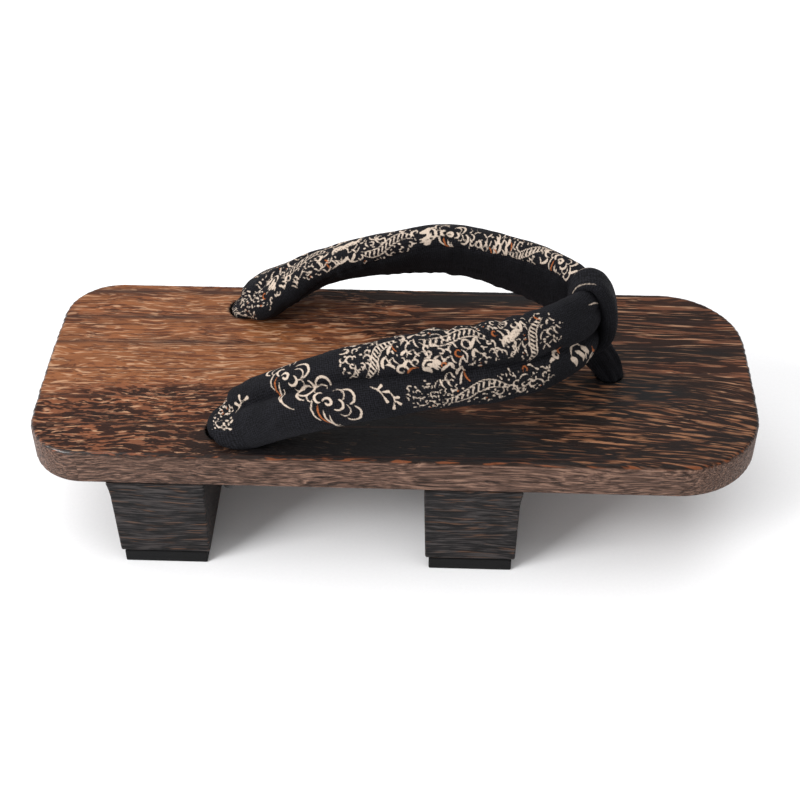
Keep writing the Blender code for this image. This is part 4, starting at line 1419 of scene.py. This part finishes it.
@dataclass
class ToeLoop:
    """The plain cloth band round the strap's fold, with its foot gathered into the front hole. Sizes in
    millimetres."""

    width: float = 14.0
    thickness: float = 2.6
    front_padding: float = 4.0
    seat: float = 0.7
    waist: float = 0.62
    foot_length: float = 12.8
    foot_width: float = 10.8
    neck_radius: float = 4.4
    neck_depth: float = 6.0
    edge_fullness: float = 2.6
    hollow: float = 0.35
    unevenness: float = 0.16
    line_half_width: float = 0.22
    line_share: float = 0.80
    line_place: float = 0.28
    line_spread: float = 4.5
    section_map: float = 24.0
    band_steps: int = 160
    section_steps: int = 48
    foot_steps: int = 96
    foot_stations: int = 70
    foot_rows: tuple[FootRow, ...] = (
        FootRow(0.36, 0.05, 0.95, 0.80),
        FootRow(0.42, 0.14, 1.02, 0.90),
        FootRow(0.50, 0.26, 1.08, 0.88),
        FootRow(0.62, 0.43, 1.14, 0.82),
        FootRow(0.76, 0.65, 1.06, 0.80),
        FootRow(0.89, 0.87, 0.89, 0.84),
        FootRow(0.985, 1.01, 0.76, 0.90),
    )

    def build(self, strap: PaddedStrap, cloth: bpy.types.Material) -> list[bpy.types.Object]:
        """Builds the band round the strap's fold and its foot."""
        return [self.band(strap, cloth), self.foot(strap, cloth)]

    def fold_place(self, strap: PaddedStrap) -> tuple[float, float, float]:
        """The middle of the strap's fold: x, z and its lean in radians."""
        row = strap.fold_row
        return strap.along_x(row), BOARD_TOP + strap.rise * row.rise, math.radians(row.lean)

    def band(self, strap: PaddedStrap, cloth: bpy.types.Material) -> bpy.types.Object:
        """The band round the fold, narrower in the fold's inner corner.

        Args:
            strap: The strap that it goes round.
            cloth: Its cloth.

        Returns:
            The band's object.
        """
        x, z, lean = self.fold_place(strap)
        up_axis = np.array([-math.cos(lean), 0.0, math.sin(lean)])
        front_axis = np.array([math.sin(lean), 0.0, math.cos(lean)])
        turns = round_turns(self.band_steps)
        front, up = superellipse(turns, strap.fullness)
        front = front * strap.thickness / 2 * strap.fold_row.thickness
        up = up * strap.width / 2 * strap.fold_row.width
        slope_front, slope_up = np.roll(front, -1) - np.roll(front, 1), np.roll(up, -1) - np.roll(up, 1)
        outward = normalised(np.stack([slope_up, -slope_front], -1))
        out_axis = outward[:, :1] * front_axis + outward[:, 1:] * up_axis
        middle = np.array([x, 0.0, z]) + front[:, None] * front_axis + up[:, None] * up_axis
        padding = self.thickness + self.front_padding * ((1 + np.cos(turns[:, None])) / 2) ** 1.5
        middle = middle + out_axis * (padding / 2 - self.seat)
        keys = along_keys(np.concatenate([middle, middle[:1]]))
        half = self.width / 2 * (self.waist + (1 - self.waist) * (1 + np.cos(turns)) / 2)
        around = round_turns(self.section_steps)
        y, r = superellipse(around, self.edge_fullness)
        y_all = half[:, None] * y
        fold_in = self.hollow * np.exp(-((y_all / (half[:, None] / 2)) ** 2)) * (r > 0)
        fold_in = fold_in + self.unevenness * ripple(keys[:-1, None], y_all * 1.5, 6.0, 21)
        r_all = padding / 2 * r - fold_in * np.sign(r)
        rings = middle[:, None] + np.stack([0 * y_all, y_all, 0 * y_all], -1) + out_axis[:, None] * r_all[..., None]
        ring_u = np.repeat(keys[:, None], len(around) + 1, 1)
        edge = np.concatenate([around, [math.tau]]) / math.tau * self.section_map
        uv = np.stack([ring_u, np.repeat(edge[None], len(keys), 0)], -1)
        piece = grid_piece("toe_loop_band", rings, cloth, uv, loop=True)
        side = np.abs(y_all) / half[:, None]
        top = np.exp(-(((keys[:-1] - keys[-1] * self.line_place) / self.line_spread) ** 2))[:, None]
        line = self.line_half_width - np.abs(side - self.line_share) * half[:, None]
        mark(piece.data, Ink.CREAM.value, np.where(r_all > 0, np.minimum(line, top - 0.5), NO_INK))
        mark(piece.data, Ink.RUST.value, np.full(side.shape, NO_INK))
        return piece

    def foot(self, strap: PaddedStrap, cloth: bpy.types.Material) -> bpy.types.Object:
        """The foot, two layers of cloth pressed together and gathered into the hole.

        Args:
            strap: The strap that it goes round.
            cloth: Its cloth.

        Returns:
            The foot's object.
        """
        x, z, _ = self.fold_place(strap)
        front_x = HOLES[0][0]
        rows = [
            (
                x + (front_x - x) * row.forward,
                0.0,
                z + (BOARD_TOP - z) * row.down,
                self.foot_length / 2 * row.length,
                self.foot_width / 2 * row.width,
            )
            for row in self.foot_rows
        ]
        stations = even_stations(np.array(rows), self.foot_stations)
        turns = round_turns(self.foot_steps)
        a, b = superellipse(turns, 2.0)
        height = along_keys(stations[:, :3])[:, None]
        pleat = 1 + 0.055 * np.cos(7 * turns[None] + 0.12 * height) + 0.03 * np.sin(11 * turns[None] - 0.2 * height)
        pleat = pleat - 0.10 * np.exp(-(((turns[None] % math.pi) - math.pi / 2) / 0.16) ** 2)
        xs = stations[:, :1] + stations[:, 3:4] * a * pleat
        ys = stations[:, 4:5] * b * pleat
        zs = np.maximum(stations[:, 2:3], BOARD_TOP + GAP) + 0 * a
        rings = [np.stack([xs, ys, zs], -1)]
        for z_neck in (BOARD_TOP + GAP, BOARD_TOP - self.neck_depth / 2, BOARD_TOP - self.neck_depth):
            neck = np.stack([front_x + a * self.neck_radius, b * self.neck_radius, np.full(a.shape, z_neck)], -1)
            rings.append(neck[None])
        rings = np.concatenate(rings)
        keys = np.arange(len(rings)) * 0.5
        way = np.concatenate([turns, [math.tau]]) * 6.0
        uv = np.stack(np.meshgrid(keys, way, indexing="ij"), -1)
        piece = grid_piece("toe_loop_foot", rings, cloth, uv)
        for ink in Ink:
            mark(piece.data, ink.value, np.full(rings.shape[:2], NO_INK))
        return piece

    def dress(self, pieces: list[bpy.types.Object]) -> None:
        """Ties the loop's pieces to the frame."""
        for piece in pieces:
            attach(piece, ROOT)
        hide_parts("toe_loop")


@dataclass
class CordKnots:
    """The tied cords that hold the cloth under the board. Sizes in millimetres."""

    cord_radius: float = 2.1
    turn_radius: float = 5.0
    rear_shift: float = 2.4
    cord_steps: int = 24
    turn_points: int = 240

    def build(self, cord: bpy.types.Material) -> list[bpy.types.Object]:
        """Builds one knot under each hole.

        Args:
            cord: The cord's finish.

        Returns:
            The three knots.
        """
        made = []
        for name, (x, y) in zip(("front", "rear_left", "rear_right"), HOLES):
            node = "knot_" + name
            low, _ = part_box(node)
            shift = 0.0 if name == "front" else self.rear_shift
            made.append(self.knot(name, x + shift, y, low[2] / MM, cord))
        return made

    def knot(self, name: str, x: float, y: float, low: float, cord: bpy.types.Material) -> bpy.types.Object:
        """One overhand knot against the board's underside.

        Args:
            name: Which hole it hangs under.
            x: The knot's place along the board.
            y: Its place across the board.
            low: The height of its lowest point.
            cord: The cord's finish.

        Returns:
            The knot's object.
        """
        t = np.linspace(0.0, math.tau, self.turn_points)
        middle = (low + BOARD_BOTTOM - GAP) / 2
        reach = (BOARD_BOTTOM - GAP - low) / 2 - self.cord_radius
        trefoil = np.stack(
            [
                x + self.turn_radius / 3 * (np.sin(t) + 2 * np.sin(2 * t)),
                y + self.turn_radius / 3 * (np.cos(t) - 2 * np.cos(2 * t)),
                middle - reach * np.sin(3 * t),
            ],
            -1,
        )
        tangent = normalised(np.roll(trefoil, -1, 0) - np.roll(trefoil, 1, 0))
        side = normalised(np.cross(tangent, (0.0, 0.0, 1.0)))
        up = np.cross(side, tangent)
        turns = round_turns(self.cord_steps)
        offset = side[:, None] * np.cos(turns)[None, :, None] + up[:, None] * np.sin(turns)[None, :, None]
        rings = trefoil[:-1, None] + offset[:-1] * self.cord_radius
        keys = along_keys(trefoil)
        way = np.linspace(0, math.tau * self.cord_radius, self.cord_steps + 1)
        uv = np.stack(np.meshgrid(keys, way, indexing="ij"), -1)
        piece = grid_piece("cord_knot_" + name, rings, cord, uv, loop=True)
        piece["hole"] = name
        return piece

    def dress(self, pieces: list[bpy.types.Object]) -> None:
        """Ties the knots to the frame."""
        for piece in pieces:
            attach(piece, ROOT)
            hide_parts("knot_" + piece["hole"])
            del piece["hole"]


@dataclass
class Board:
    """The board, with the rounding of its edges, its burnt hole mouths and the slightly ragged ends that
    brushing leaves. Sizes in millimetres."""

    length: float = 260.0
    width: float = 98.0
    heel_corner: float = 20.0
    toe_corner: float = 30.0
    end_bulge: float = 1.5
    edge_round: float = 1.6
    lower_round: float = 0.8
    lower_bevel: float = 0.25
    straight_to: float = 4.0
    mouth: float = 0.6
    ragged_ends: float = 0.22
    ragged_sides: float = 0.07
    outline_pitch: float = 0.6
    hole_steps: int = 48
    edge_turns: tuple[float, ...] = (0.0, 18.0, 36.0, 54.0, 72.0, 90.0)

    def outline(self) -> np.ndarray:
        """The board seen from above at even steps, from the middle of the toe end round by the left side.

        Returns:
            Points in millimetres, one a row.
        """

        def end_x(y: np.ndarray | float, sign: int) -> np.ndarray | float:
            """Where an end lies."""
            return sign * (self.length / 2 - self.end_bulge * (2 * y / self.width) ** 2)

        def quarter(sign: int, radius: float) -> np.ndarray:
            """One end's left half."""
            straight = self.width / 2 - radius
            y = np.linspace(0.0, straight, 40)[:-1]
            turn = np.linspace(0.0, math.pi / 2, 60)
            corner_x = end_x(straight, sign) - sign * radius + sign * radius * np.cos(turn)
            corner = np.stack([corner_x, straight + radius * np.sin(turn)], 1)
            return np.concatenate([np.stack([end_x(y, sign), y], 1), corner])

        left = np.concatenate([quarter(1, self.toe_corner), quarter(-1, self.heel_corner)[::-1]])
        whole = np.concatenate([left, left[-2::-1] * (1, -1)])
        keys = along_keys(whole)
        wanted = np.linspace(0.0, keys[-1], int(keys[-1] / self.outline_pitch) + 1)[:-1]
        return np.stack([np.interp(wanted, keys, whole[:, i]) for i in range(2)], 1)

    def build(self, wood: bpy.types.Material) -> bpy.types.Object:
        """Builds the board.

        Args:
            wood: Its finish.

        Returns:
            The board's object.
        """
        line = self.outline()
        way = normalised(np.roll(line, -1, 0) - np.roll(line, 1, 0))
        outward = np.stack([way[:, 1], -way[:, 0]], 1)
        along = np.arange(len(line)) * self.outline_pitch
        ragged = self.ragged_sides + (self.ragged_ends - self.ragged_sides) * outward[:, 0] ** 2
        rough = ragged * (ripple(along, 0 * along, 2.4, 31) + 0.7 * ripple(along, 0 * along, 9.0, 32))
        mesh = bmesh.new()
        rings = []
        for height, inset, share in self.edge_rows():
            flat = line - outward * (inset + np.maximum(rough, -0.3)[:, None] * share)
            rings.append([mesh.verts.new((x * MM, y * MM, height * MM)) for x, y in flat])
        sides = self.wall(mesh, rings)
        loops = {BOARD_TOP: [rings[-1]], BOARD_BOTTOM: [rings[0]]}
        for place, radius in zip(HOLES, HOLE_RADII):
            hole = self.hole(mesh, place, radius)
            sides += self.wall(mesh, hole)
            loops[BOARD_TOP].append(hole[0])
            loops[BOARD_BOTTOM].append(hole[-1])
        for rounds in loops.values():
            edges = [mesh.edges.get((ring[i - 1], ring[i])) for ring in rounds for i in range(len(ring))]
            bmesh.ops.triangle_fill(mesh, use_beauty=True, edges=edges)
        bmesh.ops.recalc_face_normals(mesh, faces=mesh.faces)
        for face in sides:
            face.smooth = True
        data = bpy.data.meshes.new("scorched_board")
        mesh.to_mesh(data)
        mesh.free()
        data.materials.append(wood)
        return new_object("scorched_board", data)

    def edge_rows(self) -> list[tuple[float, float, float]]:
        """The height, the inset and the share of raggedness of each ring round the edge, from the bottom up.

        Returns:
            One row for each ring.
        """
        rows = [
            (BOARD_BOTTOM, self.lower_round, 0.3),
            (BOARD_BOTTOM + self.lower_bevel, self.lower_bevel, 0.4),
            (BOARD_BOTTOM + self.lower_round, 0.0, 0.5),
            (BOARD_TOP - self.straight_to, 0.0, 0.6),
        ]
        for turn in np.radians(self.edge_turns):
            height = BOARD_TOP - self.edge_round * (1 - math.sin(turn))
            rows.append((height, self.edge_round * (1 - math.cos(turn)), 0.7 + 0.3 * math.sin(turn)))
        return rows

    def hole(
        self, mesh: bmesh.types.BMesh, place: tuple[float, float], radius: float
    ) -> list[list[bmesh.types.BMVert]]:
        """The rings of a hole's wall, from its burnt mouth at the top down.

        Args:
            mesh: The board's mesh.
            place: The hole's middle.
            radius: Its radius.

        Returns:
            The new points of each ring.
        """
        levels = (
            (BOARD_TOP, self.mouth),
            (BOARD_TOP - self.mouth / 3, self.mouth / 3),
            (BOARD_TOP - self.mouth, 0.0),
            (BOARD_BOTTOM + self.mouth, 0.0),
            (BOARD_BOTTOM, self.mouth),
        )
        rings = []
        for z, wider in levels:
            reach = radius + wider
            turns = round_turns(self.hole_steps)
            ring = [(place[0] + reach * math.cos(a), place[1] + reach * math.sin(a)) for a in turns]
            rings.append([mesh.verts.new((x * MM, y * MM, z * MM)) for x, y in ring])
        return rings

    def wall(self, mesh: bmesh.types.BMesh, rings: list[list[bmesh.types.BMVert]]) -> list[bmesh.types.BMFace]:
        """Joins each ring to the next with faces.

        Args:
            mesh: The board's mesh.
            rings: Its rings of points, in order.

        Returns:
            The new faces.
        """
        return [
            mesh.faces.new((below[i - 1], below[i], above[i], above[i - 1]))
            for below, above in zip(rings, rings[1:])
            for i in range(len(below))
        ]

    def dress(self, piece: bpy.types.Object) -> None:
        """Ties the board to the frame."""
        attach(piece, ROOT)
        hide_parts("board")


@dataclass
class Teeth:
    """The teeth and their tips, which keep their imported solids."""

    def dress(self) -> None:
        """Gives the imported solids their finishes."""
        wood, rubber = ScorchedToothWood().material(), SheetRubber().material()
        for end in ("rear", "front"):
            for node, material in ((end + "_tooth", wood), (end + "_tip", rubber)):
                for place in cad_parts[node].material_slots:
                    place.material = material


@dataclass
class Studio:
    """The floor, the lights and the camera. Sizes in metres, angles in degrees."""

    lens: float = 67.5
    sensor: float = 36.0
    place: tuple[float, float, float] = (0.018417, -0.421875, 0.411371)
    pitch: float = 41.415
    yaw: float = -2.366
    roll: float = -0.25
    floor_half: float = 3.0
    sky: float = 0.62
    aim: tuple[float, float, float] = (0.0, 0.0, 0.04)

    def build(self) -> None:
        """Builds all of it."""
        self.camera()
        self.floor()
        self.light("key_softbox", (-0.94, -0.63, 0.84), 0.6, 15.5)
        self.light("overhead_softbox", (0.0, 0.25, 1.45), 1.8, 16.0)
        world = bpy.data.worlds.new("studio")
        bpy.context.scene.world = world
        world.use_nodes = True
        background = world.node_tree.nodes["Background"]
        background.inputs["Color"].default_value = (1.0, 1.0, 1.0, 1.0)
        background.inputs["Strength"].default_value = self.sky
        bpy.context.scene.view_settings.view_transform = "Standard"

    def camera(self) -> None:
        """The camera, where the photograph's perspective puts it."""
        pitch, yaw, roll = (math.radians(a) for a in (self.pitch, self.yaw, self.roll))
        forward = Vector((math.sin(yaw) * math.cos(pitch), math.cos(yaw) * math.cos(pitch), -math.sin(pitch)))
        level = Vector((math.cos(yaw), -math.sin(yaw), 0.0))
        upright = level.cross(forward)
        right = level * math.cos(roll) + upright * math.sin(roll)
        up = upright * math.cos(roll) - level * math.sin(roll)
        data = bpy.data.cameras.new("camera")
        data.lens = self.lens
        data.sensor_width = self.sensor
        camera = new_object("camera", data)
        matrix = Matrix((right, up, -forward)).transposed().to_4x4()
        matrix.translation = Vector(self.place)
        camera.matrix_world = matrix
        bpy.context.scene.camera = camera

    def floor(self) -> None:
        """The pale floor."""
        half = self.floor_half
        mesh = bpy.data.meshes.new("floor")
        mesh.from_pydata([(-half, -half, 0), (half, -half, 0), (half, half, 0), (-half, half, 0)], [], [(0, 1, 2, 3)])
        mesh.materials.append(PaperFloor().material())
        floor = new_object("floor", mesh)

    def light(self, name: str, place: tuple[float, float, float], size: float, power: float) -> None:
        """A square soft light that faces the shoe.

        Args:
            name: Its name.
            place: Where it stands.
            size: Its side.
            power: Its power in watts.
        """
        data = bpy.data.lights.new(name, "AREA")
        data.size = size
        data.energy = power
        light = new_object(name, data)
        light.location = place
        light.rotation_euler = (Vector(self.aim) - Vector(place)).to_track_quat("-Z", "Y").to_euler()


def main() -> None:
    """Builds the scene in order and reports each piece."""
    logging.basicConfig(level=logging.INFO, format="%(message)s")
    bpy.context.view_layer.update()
    Studio().build()
    LOG.info("studio ready")
    board = Board()
    board_piece = board.build(ScorchedBoardWood().material())
    board.dress(board_piece)
    LOG.info("board: %d points", len(board_piece.data.vertices))
    Teeth().dress()
    LOG.info("teeth and tips dressed")
    cotton = CottonCloth().material()
    strap = PaddedStrap()
    strap_piece = strap.build(cotton)
    strap.dress(strap_piece)
    LOG.info("strap: %d points", len(strap_piece.data.vertices))
    loop = ToeLoop()
    loop_pieces = loop.build(strap, cotton)
    loop.dress(loop_pieces)
    LOG.info("toe loop: %d pieces", len(loop_pieces))
    knots = CordKnots()
    knot_pieces = knots.build(TwistedCord().material())
    knots.dress(knot_pieces)
    LOG.info("knots: %d pieces", len(knot_pieces))


if __name__ == "__main__":
    main()
